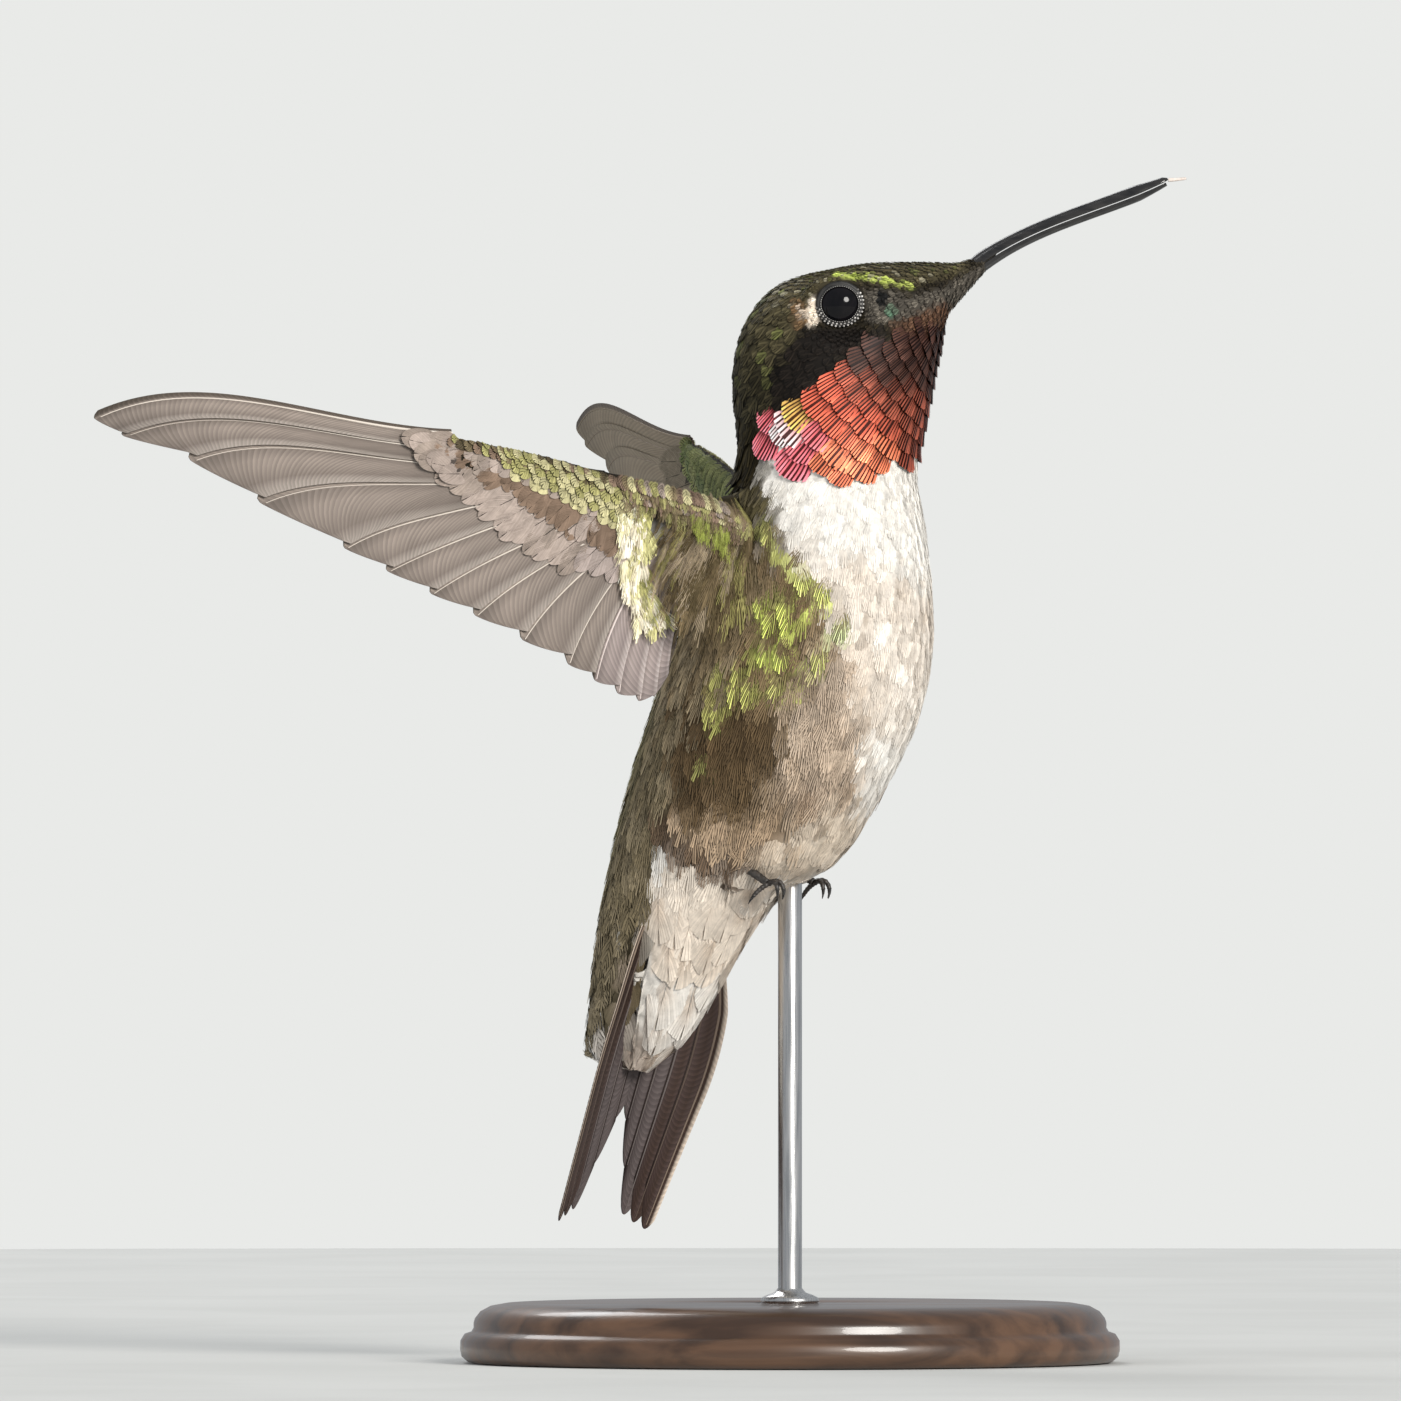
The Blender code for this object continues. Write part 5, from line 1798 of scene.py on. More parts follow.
@dataclass
class Wing:
    """The flight feathers of one spread wing, in two fans."""

    side: Side
    # How far the outer feathers bow back, and their tips and roots as (span, chord).
    bow: float = 1.75
    primary_tips: tuple = ((51.4, -6.3), (49.6, -5.2), (44.4, -3.8), (39.2, -1.1), (32.0, 2.1), (28.6, 3.6),
        (25.1, 5.1), (21.6, 6.5), (17.8, 8.1), (13.8, 9.8), (11.8, 10.8))
    primary_roots: tuple = ((23.15, -5.5), (23.1, -4.5), (22.2, -3.4), (20.7, -2.3), (18.9, -1.2),
        (17.0, -0.2), (15.0, 0.9), (12.8, 1.9), (10.4, 2.2), (8.2, 2.4), (7.0, 2.5))
    secondary_tips: tuple = ((11.6, 10.9), (9.7, 11.8), (7.9, 12.4), (6.6, 12.2), (5.6, 11.0), (5.0, 9.2),
        (4.2, 6.5))
    secondary_roots: tuple = ((6.8, 2.5), (5.6, 2.5), (4.4, 2.5), (3.4, 2.5), (2.6, 2.4), (2.0, 2.3),
        (1.5, 2.0))

    def __post_init__(self) -> None:
        """Set out the two fans."""
        self.rng = np.random.default_rng(31 + self.side.value)
        self.primaries = Fan("primaries", np.array(self.primary_roots), np.array(self.primary_tips),
            self.bow)
        self.secondaries = Fan("secondaries", np.array(self.secondary_roots), np.array(self.secondary_tips),
            0.0, notch=0.25)

    def stroke(self, flat: Array) -> Array:
        """Way the flight feathers run at places of the wing, out along the span and down."""
        roots = np.concatenate([self.primaries.roots, self.secondaries.roots])[::-1]
        tips = np.concatenate([self.primaries.tips, self.secondaries.tips])[::-1]
        return np.stack([np.interp(flat[:, 0], roots[:, 0], tips[:, k]) - flat[:, k] for k in (0, 1)], -1)

    def flight(self, vane: Material) -> None:
        """Make the primaries and secondaries, both faces."""
        under = VaneShade((0.39, 0.33, 0.285), (0.31, 0.26, 0.226), (0.2, 0.166, 0.145), (0.66, 0.59, 0.52),
            (0.36, 0.315, 0.28), 0.1)
        pale = VaneShade((0.47, 0.4, 0.375), (0.385, 0.322, 0.305), (0.26, 0.215, 0.205), (0.7, 0.61, 0.58),
            (0.45, 0.39, 0.37), 0.1)
        dusk = VaneShade((0.19, 0.155, 0.11), (0.2, 0.16, 0.115), (0.22, 0.18, 0.13), (0.18, 0.14, 0.1),
            (0.29, 0.245, 0.19), 0.1)
        for fan, shade, slot in ((self.primaries, under, 10), (self.secondaries, pale, 6)):
            sheaf = Sheaf(f"{fan.name}_{self.side.word}")
            for face, tone in ((Face.UNDER, shade), (Face.UPPER, dusk)):
                for index in range(slot):
                    fan.feather(self.side, index, face, tone).lay(sheaf, self.rng)
            sheaf.write(vane, "flight_vane", f"wing_{self.side.word}_{fan.name}")

    def sheet(self, face: Face) -> tuple[Array, list]:
        """Plain surface of the flight feathers for coverts to lie on."""
        points, faces, count = [], [], 0
        for fan in (self.primaries, self.secondaries):
            n = len(fan.roots) - 1
            g = np.linspace(0, n, 4 * n + 1)[:, None]
            t = np.linspace(0, 1, 16)[None]
            g, t = np.broadcast_arrays(g, t)
            flat = fan.flat(g, t)
            rise = -STANCE.wing_camber * 4 * t * (1 - t) + face.value * 0.1
            points.append(STANCE.wing_place(self.side, flat[..., 0], flat[..., 1], rise).reshape(-1, 3))
            rows, cols = g.shape
            faces += (grid_faces(rows, cols) + count).tolist()
            count += rows * cols
        return np.concatenate(points), faces


@dataclass(frozen=True)
class CovertRow:
    """Rows of coverts: their root line as (span, chord) corners, their size and looks."""

    line: tuple
    long: float
    wide: float
    gap: float
    tints: tuple
    cut: FeatherCut
    rows: int = 1
    step: float = 0.55
    lift: float = 0.16
    gloss: float = 0.12
    rag: float = 0.04
    along: bool = False
    soft: bool = False


SCALE_CUT = FeatherCut(barbs=6, steps=3, fill=0.8, rag=0.06, contrast=0.08, relief=0.04, root=(0.3, 0.7),
    backing=True)
LONG_CUT = FeatherCut(barbs=20, steps=3, fill=0.94, rag=0.0, contrast=0.04, relief=0.02, sweep=0.35,
    root=(0.0, 0.25), backing=True)
DOWN_CUT = FeatherCut(barbs=9, steps=4, fill=0.5, rag=0.35, sweep=0.9, contrast=0.12, relief=0.05,
    root=(0.0, 0.4))

GREEN, PALE_GREEN, WHITE = (0.38, 0.36, 0.15), (0.54, 0.5, 0.28), (0.9, 0.82, 0.64)
LILAC, BROWN, OLIVE = (0.39, 0.32, 0.28), (0.23, 0.16, 0.115), (0.21, 0.165, 0.095)
DULL, DARK = (0.33, 0.27, 0.23), (0.1, 0.078, 0.043)
DUSK, MOSS = (0.17, 0.14, 0.1), (0.19, 0.2, 0.075)


@dataclass
class Lining:
    """Coverts of a wing's underside and back."""

    wing: Wing
    points: Array
    triangles: Array
    under: tuple[CovertRow, ...] = (
        # long grey coverts over the roots of the flight feathers
        CovertRow(((19.4, -3.9), (16.6, -2.5), (13.2, -0.7), (10.2, 0.7)), 4.9, 2.0, 0.9,
            (LILAC, DULL, LILAC), LONG_CUT, lift=0.03),
        CovertRow(((10.0, 0.7), (7.6, 1.3), (5.2, 1.7)), 3.9, 2.0, 0.95, (LILAC, (0.42, 0.35, 0.32)),
            LONG_CUT, lift=0.03),
        CovertRow(((24.0, -4.9), (23.4, -4.0), (22.4, -3.1), (21.2, -2.6)), 3.0, 1.6, 0.6, (LILAC, DULL),
            LONG_CUT, lift=0.25),
        CovertRow(((22.5, -4.7), (20.6, -4.3), (18.0, -3.6)), 3.0, 1.5, 0.6, (LILAC, DULL, BROWN), LONG_CUT,
            2, 0.35, 0.04),
        CovertRow(((18.4, -3.8), (15.0, -2.6), (11.4, -1.0), (7.8, 0.3)), 3.3, 1.7, 0.8,
            (BROWN, BROWN, LILAC, BROWN), LONG_CUT, lift=0.03),
        CovertRow(((19.4, -4.2), (15.8, -3.2), (12.0, -1.9), (8.8, -0.6)), 2.2, 1.4, 0.8,
            (DULL, LILAC, PALE_GREEN), LONG_CUT, lift=0.04),
        # rows of rounded green scales, and the brown ones of the front edge
        CovertRow(((18.4, -3.9), (14.0, -2.3), (10.5, -1.1), (8.6, -0.5)), 1.5, 1.15, 0.82,
            (GREEN, PALE_GREEN, PALE_GREEN, GREEN), SCALE_CUT, 4, 0.5, 0.2, 0.25),
        CovertRow(((22.6, -4.75), (18, -3.95), (13, -3.0), (8, -1.75), (3, -0.5)), 1.15, 0.85, 0.62,
            (OLIVE, DARK, BROWN, OLIVE, GREEN), SCALE_CUT, 2, 0.4, 0.14, 0.2),
        # soft pale band that curves down beside the body
        *(CovertRow(tuple((span - 0.62 * k, chord + 0.1 * k) for span, chord in ((10.1, -1.7), (9.4, 0.0),
            (8.9, 1.6), (8.9, 3.2), (8.2, 4.8), (7.0, 6.2))), 2.5, 1.2, 0.36, tints,
            replace(DOWN_CUT, fill=0.8), 1, 0.5, 0.2 + 0.04 * k, 0.1, 0.2, True)
            for k, tints in enumerate((((1.0, 0.92, 0.76), (0.92, 0.86, 0.56), (0.95, 0.87, 0.64)),
            (WHITE, (0.8, 0.75, 0.42), (1.0, 0.92, 0.76)), ((0.66, 0.63, 0.3), (0.5, 0.48, 0.19), WHITE)))),
        # brown feathers in the bend of the wing, scales of its front edge up to the shoulder
        CovertRow(((9.3, -1.5), (6.0, -0.9), (2.5, 0.1), (0.8, 0.7)), 1.9, 1.0, 0.5, (OLIVE, BROWN, OLIVE,
            GREEN), DOWN_CUT, 3, 0.55, 0.3, 0.1, 0.12, soft=True),
        CovertRow(((9.5, -1.9), (6.0, -1.3), (3.4, -0.7), (1.4, 0.0)), 1.15, 0.8, 0.42,
            (OLIVE, BROWN, GREEN, DULL, PALE_GREEN), SCALE_CUT, 3, 0.4, 0.16, 0.15, 0.16, soft=True),
        CovertRow(((4.4, 0.4), (3.5, 1.0), (2.3, 2.0)), 1.5, 0.5, 0.3, ((0.42, 0.47, 0.11), OLIVE,
            (0.34, 0.36, 0.1), (0.5, 0.56, 0.14)), DOWN_CUT, 4, 0.4, 0.45, 0.3, 0.22, soft=True),
    )
    upper: tuple[CovertRow, ...] = (CovertRow(((22.3, -3.8), (17.5, -1.6), (12.5, 1.0)), 5.4, 2.1, 1.3,
        (DUSK,), LONG_CUT), CovertRow(((12.0, 1.2), (8.5, 1.9), (3.8, 2.3)), 4.6, 2.1, 1.25, (DUSK, MOSS),
        LONG_CUT), CovertRow(((22.0, -4.1), (15.5, -1.0), (9.0, 0.9), (2.5, 1.6)), 2.3, 1.5, 0.95,
        (MOSS, (0.11, 0.135, 0.045)), SCALE_CUT, 3, 0.8, 0.2, 0.5),
        CovertRow(((21.5, -4.9), (15.0, -3.3), (8.5, -1.5), (2.0, -0.2)), 1.6, 1.2, 0.75,
        (MOSS, (0.13, 0.145, 0.05)), SCALE_CUT, 3, 0.5, 0.18, 0.5))
    # Hair-like feathers of the armpit: tries, corners of the area of their roots, and tints.
    hairs: int = 1500
    armpit: tuple = ((0.7, -1.3), (3.0, -1.9), (6.6, -1.9), (6.6, 0.8), (6.2, 3.2), (4.6, 4.8), (2.6, 5.4),
        (1.1, 3.6))
    hair: tuple = ((0.17, 0.125, 0.065), (0.21, 0.155, 0.085), (0.08, 0.058, 0.028), (0.12, 0.09, 0.045),
        (0.34, 0.27, 0.18), (0.3, 0.27, 0.1))

    def build(self, face: Face) -> Sheaf:
        """Lay every row of one face, rearmost first, then the armpit on the lining.

        Args:
            face: the lining below or the back above.

        Returns:
            The coverts of that face.
        """
        wing, side = self.wing, self.wing.side
        rng = wing.rng
        sheet, faces = wing.sheet(face)
        tree = Drape(*self.joined(sheet, faces))
        span_way, down_way, under = STANCE.wing_axes(side)
        out = under * face.value
        sheaf = Sheaf(f"coverts_{'under' if face is Face.UNDER else 'upper'}_{side.word}")
        rows = self.under if face is Face.UNDER else self.upper

        def settle(rest: Array) -> tuple[Array, Array]:
            """Drop resting places onto the wing from outside its face.

            Args:
                rest: resting places of the feathers.

            Returns:
                Places on the surface, and its normals.
            """
            place, normal, met = tree.cast(rest + out * 5, -out, 9.0)
            near, near_normal = tree.settle(rest)
            place = np.where(met[..., None], place, near)
            normal = np.where(met[..., None], normal, near_normal)
            turn = np.sign((normal * out).sum(-1, keepdims=True))
            normal = unit(normal * np.where(turn == 0, 1, turn) + 0.8 * out)
            return place, normal

        def span_gap(rest: Array) -> tuple[Array, Array]:
            """Drop resting places onto wing, body, or the slope of plumage between them.

            Args:
                rest: resting places of the feathers.

            Returns:
                Places on the surface, and its normals.
            """
            place, _, met = tree.cast(rest + out * 12, -out, 22.0)
            root = STANCE.wing_root(side)
            span = (rest - root) @ span_way
            front = (rest - root) @ down_way - STANCE.leading_edge(span)
            ramp = 0.25 + 2.9 * smooth(7.2, 0.3, span) * smooth(-1.5, 2.2, front)
            high = np.where(met, (place - root) @ out, -9.0)
            high = np.maximum(high, ramp)
            place = rest + (high - (rest - root) @ out)[..., None] * out
            return place, unit(out + 0.35 * (1 - smooth(6, 8, span))[..., None] * span_way)

        def bed(flat: Array, way: Array, tints: tuple, long: Array, wide: Array, lift: float, gloss: float,
                drop: Callable) -> Bed:
            """Feathers at wing places, pointing along (span, chord) ways.

            Args:
                flat: roots, as (span, chord).
                way: their directions.
                tints: colours to choose from.
                long: lengths.
                wide: widths.
                lift: how far the tips stand off.
                gloss: their gloss.
                drop: puts resting places on the surface.

            Returns:
                The feathers, ready to be laid.
            """
            n = len(flat)
            rest = STANCE.wing_place(side, flat[:, 0], flat[:, 1], np.zeros(n))
            root, normal = drop(rest)
            tint = np.array(tints)[rng.integers(0, len(tints), n)]
            colour = np.column_stack([tint * rng.uniform(0.85, 1.12, (n, 1)), np.full(n, gloss)])
            lie = way[:, :1] * span_way + way[:, 1:] * down_way
            return Bed(root, normal, lie, long, wide, np.full(n, lift), colour, colour * vec(0.6, 0.6, 0.6,
                0.3), face.unwrap(flat))

        if face is Face.UNDER:
            flat = rng.uniform((-2, -2.2), (7, 5.6), (self.hairs, 2))
            flat = flat[inside_by(self.armpit, flat) > 0]
            flat = flat[scatter(np.column_stack([flat, 0 * flat[:, 0]]), np.full(len(flat), 0.42))]
            away = unit(flat - vec(-1.0, -4.5))
            way = unit(away + vec(0, 0.55) + 0.14 * rng.normal(size=flat.shape))
            long = mix(1.9, 4.4, smooth(2, 7, np.linalg.norm(flat - vec(-1.0, -3.5), axis=1)))
            long = long * rng.uniform(0.75, 1.15, len(flat)) * mix(1, 0.55, smooth(3.5, 5.5, flat[:, 0])
                * (1 - smooth(1.8, 3.6, flat[:, 1])))
            laid = bed(flat, way, self.hair, long, 0.24 * long, 0.35, 0.05, span_gap)
            Thatch(DOWN_CUT, tree, rng, settle=span_gap, bury=0.05).lay(laid, sheaf)
        for level, row in enumerate(rows):
            drop = span_gap if row.soft else settle
            for step in range(row.rows):
                line = np.array(row.line, float) - vec(0, step * row.step)
                reach = distances(line)
                marks = np.arange((step % 2) * row.gap / 2, reach[-1], row.gap)
                marks = marks + rng.normal(0, 0.06 * row.gap, len(marks))
                flat = points_at(marks, reach, line)
                way = unit(wing.stroke(flat))
                if row.along:
                    ahead = points_at(marks + 1.0, reach, line)
                    way = unit(unit(ahead - flat + vec(0, 0.3)) + vec(0, 0.5))
                way = way + row.rag * rng.normal(size=way.shape)
                size = rng.uniform(0.93, 1.07, (2, len(flat)))
                laid = bed(flat, way, row.tints, row.long * size[0], row.wide * size[1], row.lift + 0.02
                    * level + 0.03 * step, row.gloss, drop)
                Thatch(row.cut, tree, rng, settle=drop, bury=0.03).lay(laid, sheaf)
        return sheaf

    def joined(self, sheet: Array, faces: list) -> tuple[Array, list]:
        """The sheet of flight feathers with the skin's surface."""
        own = np.array(faces)
        triangles = np.concatenate([own[:, (0, 1, 2)], own[:, (0, 2, 3)]]) + len(self.points)
        return (np.concatenate([self.points, sheet]), np.concatenate([self.triangles, triangles]).tolist())


# ---------- tail


@dataclass
class Tail:
    """Ten tail feathers, the outer ones below."""

    lengths: tuple[float, ...] = (13.4, 16.6, 19.7, 20.1, 20.4)
    half_root: float = 4.5
    half_width: float = 6.8
    shaft_at: float = 0.29

    def half(self, side: Side, along: Array) -> Array:
        """Half width of the tail, which is folded more on the left."""
        spread = np.sin(np.minimum(along / 11.0, 1) * pi / 2)
        fold = 0.14 if side is Side.LEFT else 0.02
        return mix(self.half_root, self.half_width, spread) - fold * np.maximum(along - 5, 0)

    def feather(self, side: Side, index: int, face: Face, shade: VaneShade) -> LongFeather:
        """Set out one tail feather, numbered from the middle out."""
        length = self.lengths[index - 1]
        p = vec(-0.04, 0.0, 0.06, 0.15, 0.245, 0.29, 0.335, 0.42, 0.57, 0.72, 0.87, 1.0, 1.06)

        def place(p: Array, t: Array, rise: Array) -> Array:
            """Point of the feather, risen out of its face."""
            along = t * length
            right = self.half(side, along) * (index - 0.5 + 1.5 * (0.37 - p)) / 5
            level = (0.1 * (index - 3) + 0.06 * (1.3 - 2 * p)) * smooth(0, 0.3, t)
            return STANCE.tail_place(along, side.value * right, level - 0.04 * (face is Face.UPPER) + rise)

        end = 1 - 2.6 / length * (1.43 * np.abs(p - self.shaft_at)) ** 1.8
        centre = vec(0.5 + 0.04 * side.value * index, 0.3 + 0.4 * (face is Face.UPPER))
        return LongFeather(place, p, length, end, 1.4, self.shaft_at, shade, side, face, centre,
            vec(0.02, 0.2))

    def build(self, vane: Material) -> None:
        """Make both halves of the tail."""
        dark = VaneShade((0.044, 0.027, 0.021), (0.042, 0.025, 0.019), (0.062, 0.041, 0.037),
            (0.09, 0.064, 0.051), (0.028, 0.019, 0.017), 0.12, dim=0)
        outer = replace(dark, edge=(0.62, 0.52, 0.43), shaft=(0.2, 0.15, 0.115), band=0.04)
        lilac = replace(dark, edge=(0.1, 0.082, 0.08), web=(0.11, 0.09, 0.088), inner=(0.085, 0.068, 0.067),
            shaft=(0.13, 0.11, 0.105))
        upper = replace(dark, edge=(0.045, 0.038, 0.04), web=(0.045, 0.038, 0.045),
            inner=(0.04, 0.034, 0.042), shaft=(0.04, 0.034, 0.038), contrast=0.08)
        green = replace(upper, edge=(0.06, 0.08, 0.035), web=(0.07, 0.1, 0.04), inner=(0.07, 0.1, 0.04))
        rng = np.random.default_rng(77)
        for side in Side:
            sheaf = Sheaf(f"tail_feathers_{side.word}")
            for index in range(1, 6):
                under = lilac if index < 4 else outer if index == 5 else dark
                self.feather(side, index, Face.UNDER, under).lay(sheaf, rng)
                over = green if index == 1 else upper
                self.feather(side, index, Face.UPPER, over).lay(sheaf, rng)
            sheaf.write(vane, "tail_vane", *(f"rectrix_{side.word}_{index}" for index in range(1, 6)))


# ---------- feet


@dataclass
class Foot:
    """Short leg and tucked toes, with ringed scales and hooked claws."""

    side: Side
    forward: float = 6.3
    out: float = 4.5
    height: float = 32.1
    toe: float = 2.0

    def place(self, forward: float, out: float, height: float) -> Array:
        """World place of a point under the belly."""
        ahead = STANCE.forward * (forward - 6.2 / cos(STANCE.trunk_yaw))
        return ahead + STANCE.right * (self.side.value * out) + height * UP

    def build(self, scutes: Material, claw: Material) -> None:
        """Make the leg, the toes and the claws.

        Args:
            scutes: the finish of the ringed skin.
            claw: the claws' finish.
        """
        leg = Solid(f"shank_{self.side.word}")
        top = self.place(self.forward - 2.2, self.out - 0.5, self.height + 1.5)
        low = self.place(self.forward + 0.3, self.out, self.height - 0.05)
        t = np.linspace(0, 1, 33)
        radii = mix(0.34, 0.26, t) * (1 + 0.05 * np.cos(t * 8 * 2 * pi))
        leg.tube(top + (low - top) * t[:, None], radii, 12)
        leg.write(scutes, "foot_skin", f"leg_{self.side.word}")
        toes, claws = Solid(f"toes_{self.side.word}"), Solid(f"claws_{self.side.word}")
        centre = self.place(self.forward + 0.45, self.out, self.height - 0.1)
        right = STANCE.right * self.side.value
        for spread, ahead, lift, curl in ((-0.5, 0.75, 0.5, 2.3), (0, 0.75, 0.5, 2.3),
                (0.5, 0.75, 0.5, 2.3), (0.3, -0.8, -0.4, 1.0)):
            heading = unit(STANCE.forward * ahead + right * spread + UP * lift)
            point, path = centre, []
            for k in range(41):
                path.append(point)
                turn = curl * (k / 40) * 0.95
                step = unit(heading * cos(turn) - UP * sin(turn) + right * spread * 0.1)
                point = point + step * self.toe / 40
            path = np.array(path)
            t = np.linspace(0, 1, 28)
            pads = 1 + 0.1 * np.cos(t * 5 * 2 * pi)
            toes.tube(path[:28], mix(0.19, 0.14, t) * pads, 10)
            t = np.linspace(0, 1, 16)
            claws.tube(path[25:41], mix(0.13, 0.02, t ** 1.3), 8)
        toes.write(scutes, "foot_skin", f"foot_{self.side.word}")
        claws.write(claw, "foot_skin")


# ---------- stand and studio


@dataclass
class Stand:
    """Turned base and steel rod."""

    radius: float = 22.0
    height: float = 4.0
    rod: float = 0.8
    foot: float = 1.5
    top: float = 36.5

    @staticmethod
    def turned(name: str, profile: tuple, sides: int) -> Solid:
        """Body turned on the rod's axis from (radius, height) steps."""
        made, turn = Solid(name), turns(sides)
        made.loft([np.stack([x * np.cos(turn), x * np.sin(turn), z + 0 * turn], -1) for x, z in profile])
        return made

    def build(self, wood: Material, steel: Material) -> None:
        """Turn the base with its bead and cove, and the rod with a collar.

        Args:
            wood: the base's finish.
            steel: the rod's finish.
        """
        r, h = self.radius, self.height
        profile = ((0.05, 0), (r - 1.2, 0), (r - 0.5, 0.1), (r - 0.1, 0.45), (r, 0.9), (r - 0.02, 1.5),
            (r - 0.3, 1.95), (r - 0.75, 2.1), (r - 0.9, 2.35), (r - 0.9, 2.7), (r - 1.0, 3.0),
            (r - 1.35, 3.45), (r - 2.0, 3.8), (r - 3.0, h - 0.02), (r - 5, h), (r * 0.5, h), (2.4, h),
            (2.3, h - 0.1), (2.1, h - 0.12), (2.0, h), (0.05, h))
        self.turned("base_turned", profile, 128).write(wood, "base_wood", "stand_base")
        steps = ((0.02, self.foot), (self.rod, self.foot), (self.rod, 4.01), (1.9, 4.02), (1.95, 4.1),
            (1.9, 4.35), (1.5, 4.55), (1.05, 4.7), (self.rod, 5.0), (self.rod, self.top - 0.2),
            (self.rod * 0.8, self.top), (0.02, self.top))
        self.turned("rod_turned", steps, 32).write(steel, "rod_steel", "stand_rod")


@dataclass
class Studio:
    """Pale floor and background, soft lights and the camera."""

    frame: float = 93.4
    away: float = 2000.0
    floor: float = 420.0
    ambient: float = 0.46
    paper: float = 0.84
    aim: tuple[float, float] = (-5.967, 44.167)

    def ground(self) -> None:
        """Lay a round pale floor, open on every side."""
        bm = bmesh.new()
        bmesh.ops.create_circle(bm, cap_ends=True, cap_tris=True, segments=96, radius=self.floor * MM)
        mesh = bpy.data.meshes.new("floor")
        bm.to_mesh(mesh)
        bm.free()
        finish = GrainFinish("pale paper", roughness=0.9, specular=0.2, dark=(0.6, 0.6, 0.58),
            light=(0.64, 0.64, 0.62), scale=40.0, relief=0.02)
        mesh.materials.append(finish.make())
        link("floor", mesh)

    def light(self, name: str, place: tuple, size: float, watts: float, tone: Colour) -> None:
        """Hang one soft light aimed at the bird.

        Args:
            name: its name.
            place: where it hangs, in metres.
            size: its width in metres.
            watts: its power.
            tone: its colour.
        """
        data = bpy.data.lights.new(name, "AREA")
        data.shape, data.size, data.energy, data.color = "DISK", size, watts, tone
        made = link(name, data)
        made.location = place
        aim = Vector((0, 0, 0.05)) - made.location
        made.rotation_euler = aim.to_track_quat("-Z", "Y").to_euler()
        made.visible_glossy = name != "fill"

    def build(self) -> None:
        """Set the scene."""
        self.ground()
        self.light("key", (1.5, -2.5, 1.15), 1.2, 104.0, (1.0, 0.97, 0.92))
        self.light("fill", (-2.2, -1.3, 0.8), 1.6, 26.0, (0.96, 0.98, 1.0))
        self.light("rim", (-0.3, 0.6, 0.7), 0.4, 2.5, (1.0, 1.0, 1.0))
        scene = bpy.context.scene
        world = bpy.data.worlds.new("studio")
        scene.world = world
        world.use_nodes = True
        wires = Wires(world.node_tree)
        glow, seen = world.node_tree.nodes["Background"], wires.node("Background")
        for node, tone, strength in ((glow, (0.9, 0.95, 1.0, 1), self.ambient),
                (seen, (0.97, 0.98, 0.96, 1), self.paper)):
            wires.feed(node.inputs["Color"], tone)
            wires.feed(node.inputs["Strength"], strength)
        path = wires.node("LightPath").outputs["Is Camera Ray"]
        blend = wires.node("MixShader", {0: path, 1: glow.outputs[0], 2: seen.outputs[0]})
        wires.feed(world.node_tree.nodes["World Output"].inputs["Surface"], blend.outputs[0])
        scene.view_settings.view_transform = "Standard"
        lens = bpy.data.cameras.new("camera")
        lens.sensor_width = 36.0
        lens.lens = 36.0 * self.away / self.frame
        lens.clip_start, lens.clip_end = 0.1, 10.0
        camera = link("camera", lens)
        x, z = self.aim
        camera.location = (x * MM, -self.away * MM, z * MM)
        camera.rotation_euler = (pi / 2, 0, 0)
        scene.camera = camera


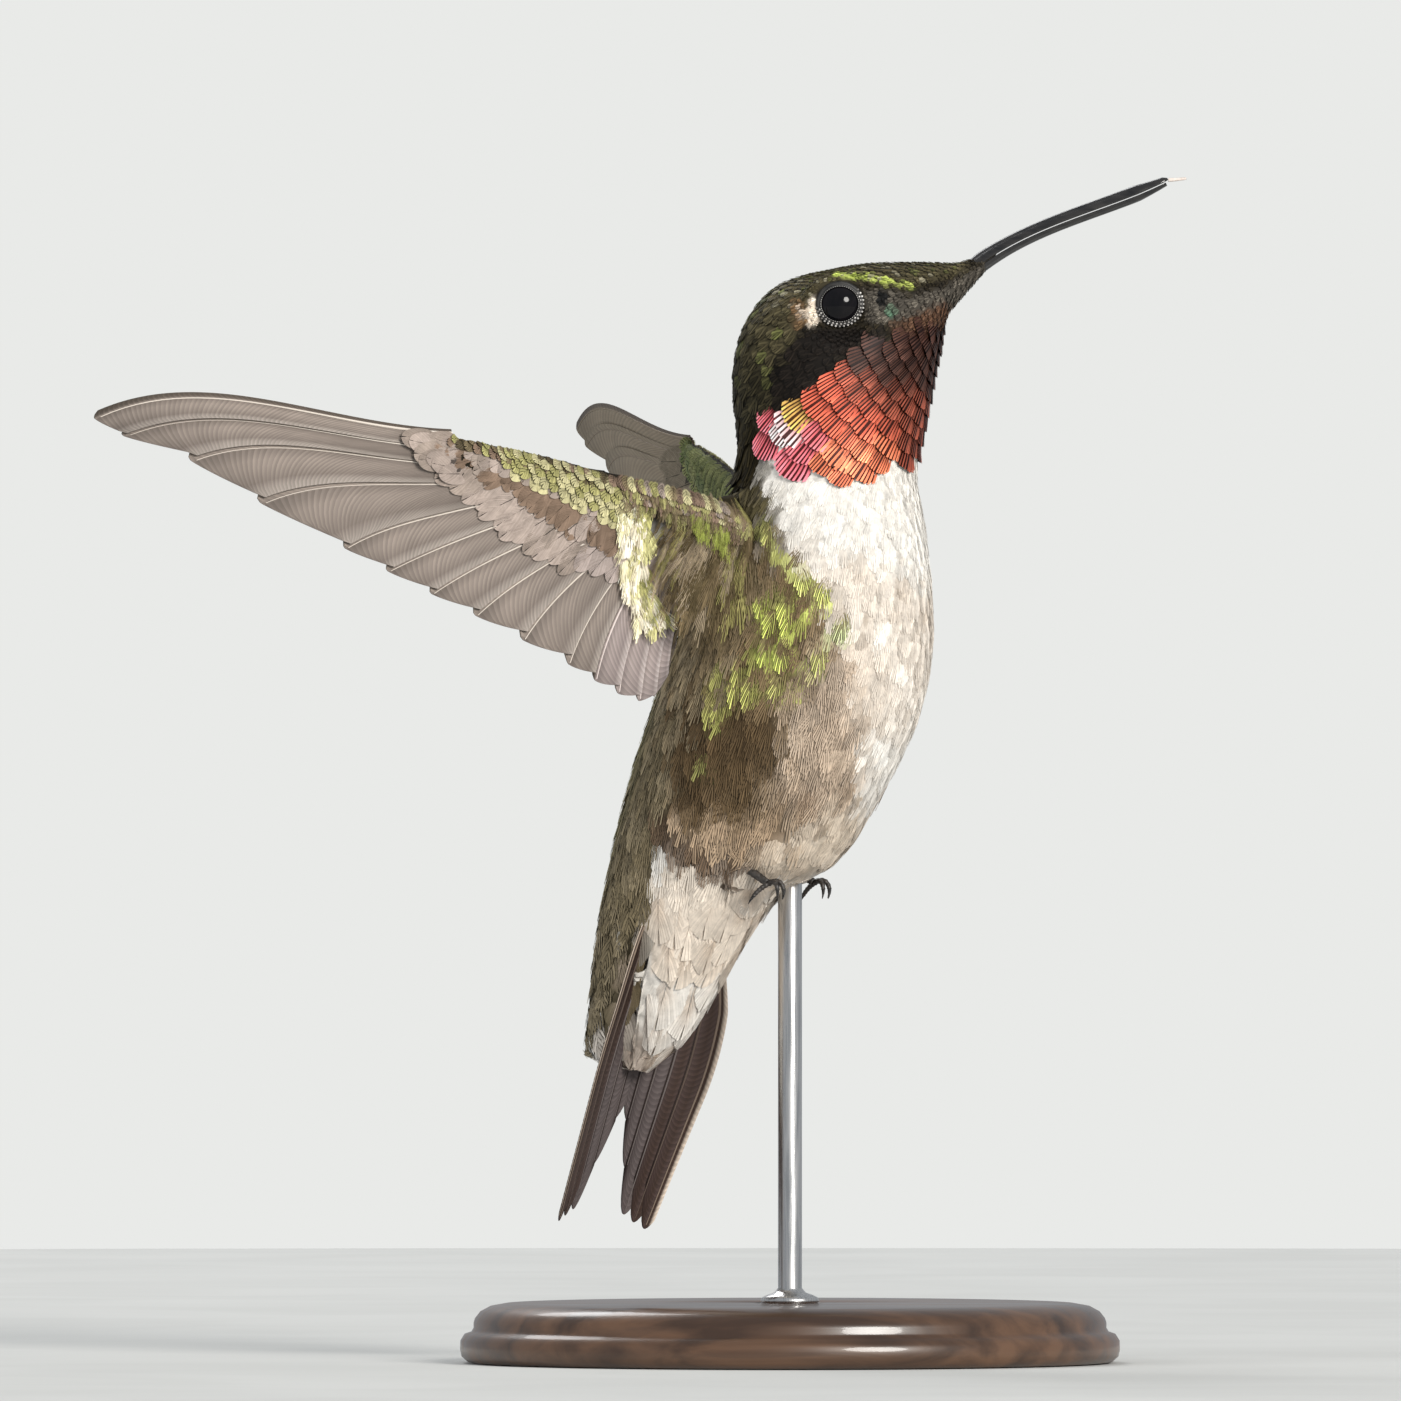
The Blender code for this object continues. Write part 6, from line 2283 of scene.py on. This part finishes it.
def main() -> None:
    """Build the bird and its stand round the frame, and set the scene."""
    logging.basicConfig(level=logging.INFO, format="%(name)s: %(message)s")
    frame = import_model()
    markings = Markings()
    plumage = PlumageFinish("plumage", roughness=0.7, specular=0.15)
    ruby = PlumageFinish("ruby scales", roughness=0.55, specular=0.2, shine=0.36, amount=0.3)
    skin_finish = PlumageFinish("skin", roughness=0.8, specular=0.2, amount=0.4)
    skin = Skin().build(frame["nodes"], markings, skin_finish)
    points, triangles = Skin.surface(skin)
    drape = Drape(points, triangles.tolist())
    feathers, scales = plumage.make(), ruby.make()
    coat = BodyCoat(markings, points, triangles, drape)
    coat.head().write(feathers, "head_feathers")
    Gorget(coat).build().write(scales, "head_feathers")
    for side in Side:
        coat.trunk(side).write(feathers, "body_feathers")
    coat.rear().write(feathers, "undertail")

    ball = GrainFinish("eye", roughness=0.06, specular=0.22, dark=(0.002, 0.002, 0.003),
        light=(0.006, 0.005, 0.006), relief=0.0).make()
    lid = GrainFinish("eyelid", roughness=0.5, dark=(0.005, 0.005, 0.005), light=(0.02, 0.018, 0.016),
        scale=4000).make()
    beads = GrainFinish("eyelid beads", roughness=0.35, dark=(0.13, 0.12, 0.11), light=(0.75, 0.72, 0.68),
        scale=1800).make()
    horn = GrainFinish("bill horn", roughness=0.2, specular=0.6, dark=(0.006, 0.006, 0.007),
        light=(0.022, 0.02, 0.019), stretch=(0.25, 1, 1), scale=2500, relief=0.012).make()
    flesh = GrainFinish("tongue", roughness=0.3, dark=(0.62, 0.52, 0.46), light=(0.8, 0.72, 0.66),
        scale=3000).make()
    for side in Side:
        Eye(side).build(ball, lid, beads)
    Bill().build(horn, flesh)

    vane = PlumageFinish("flight feathers", roughness=0.6, specular=0.2, scale=300.0, amount=0.08).make()
    for side in Side:
        wing = Wing(side)
        wing.flight(vane)
        lining = Lining(wing, points, triangles)
        for face in Face:
            lining.build(face).write(feathers, "wing_lining")
    Tail().build(vane)

    scutes = GrainFinish("foot skin", roughness=0.45, dark=(0.014, 0.012, 0.011),
        light=(0.05, 0.042, 0.036), scale=3500, relief=0.03).make()
    claw = GrainFinish("claws", roughness=0.25, dark=(0.008, 0.007, 0.007), light=(0.025, 0.021, 0.018),
        scale=2500).make()
    for side in Side:
        Foot(side).build(scutes, claw)
    wood = GrainFinish("turned walnut", roughness=0.36, coat=0.3, dark=(0.035, 0.017, 0.009),
        light=(0.115, 0.058, 0.03), stretch=(0.12, 1, 1), scale=420, relief=0.015).make()
    steel = GrainFinish("brushed steel", roughness=0.28, metallic=1.0, dark=(0.5, 0.5, 0.5),
        light=(0.68, 0.67, 0.66), stretch=(1, 1, 0.04), scale=5000, relief=0.004).make()
    Stand().build(wood, steel)
    Studio().build()


if __name__ == "__main__":
    main()
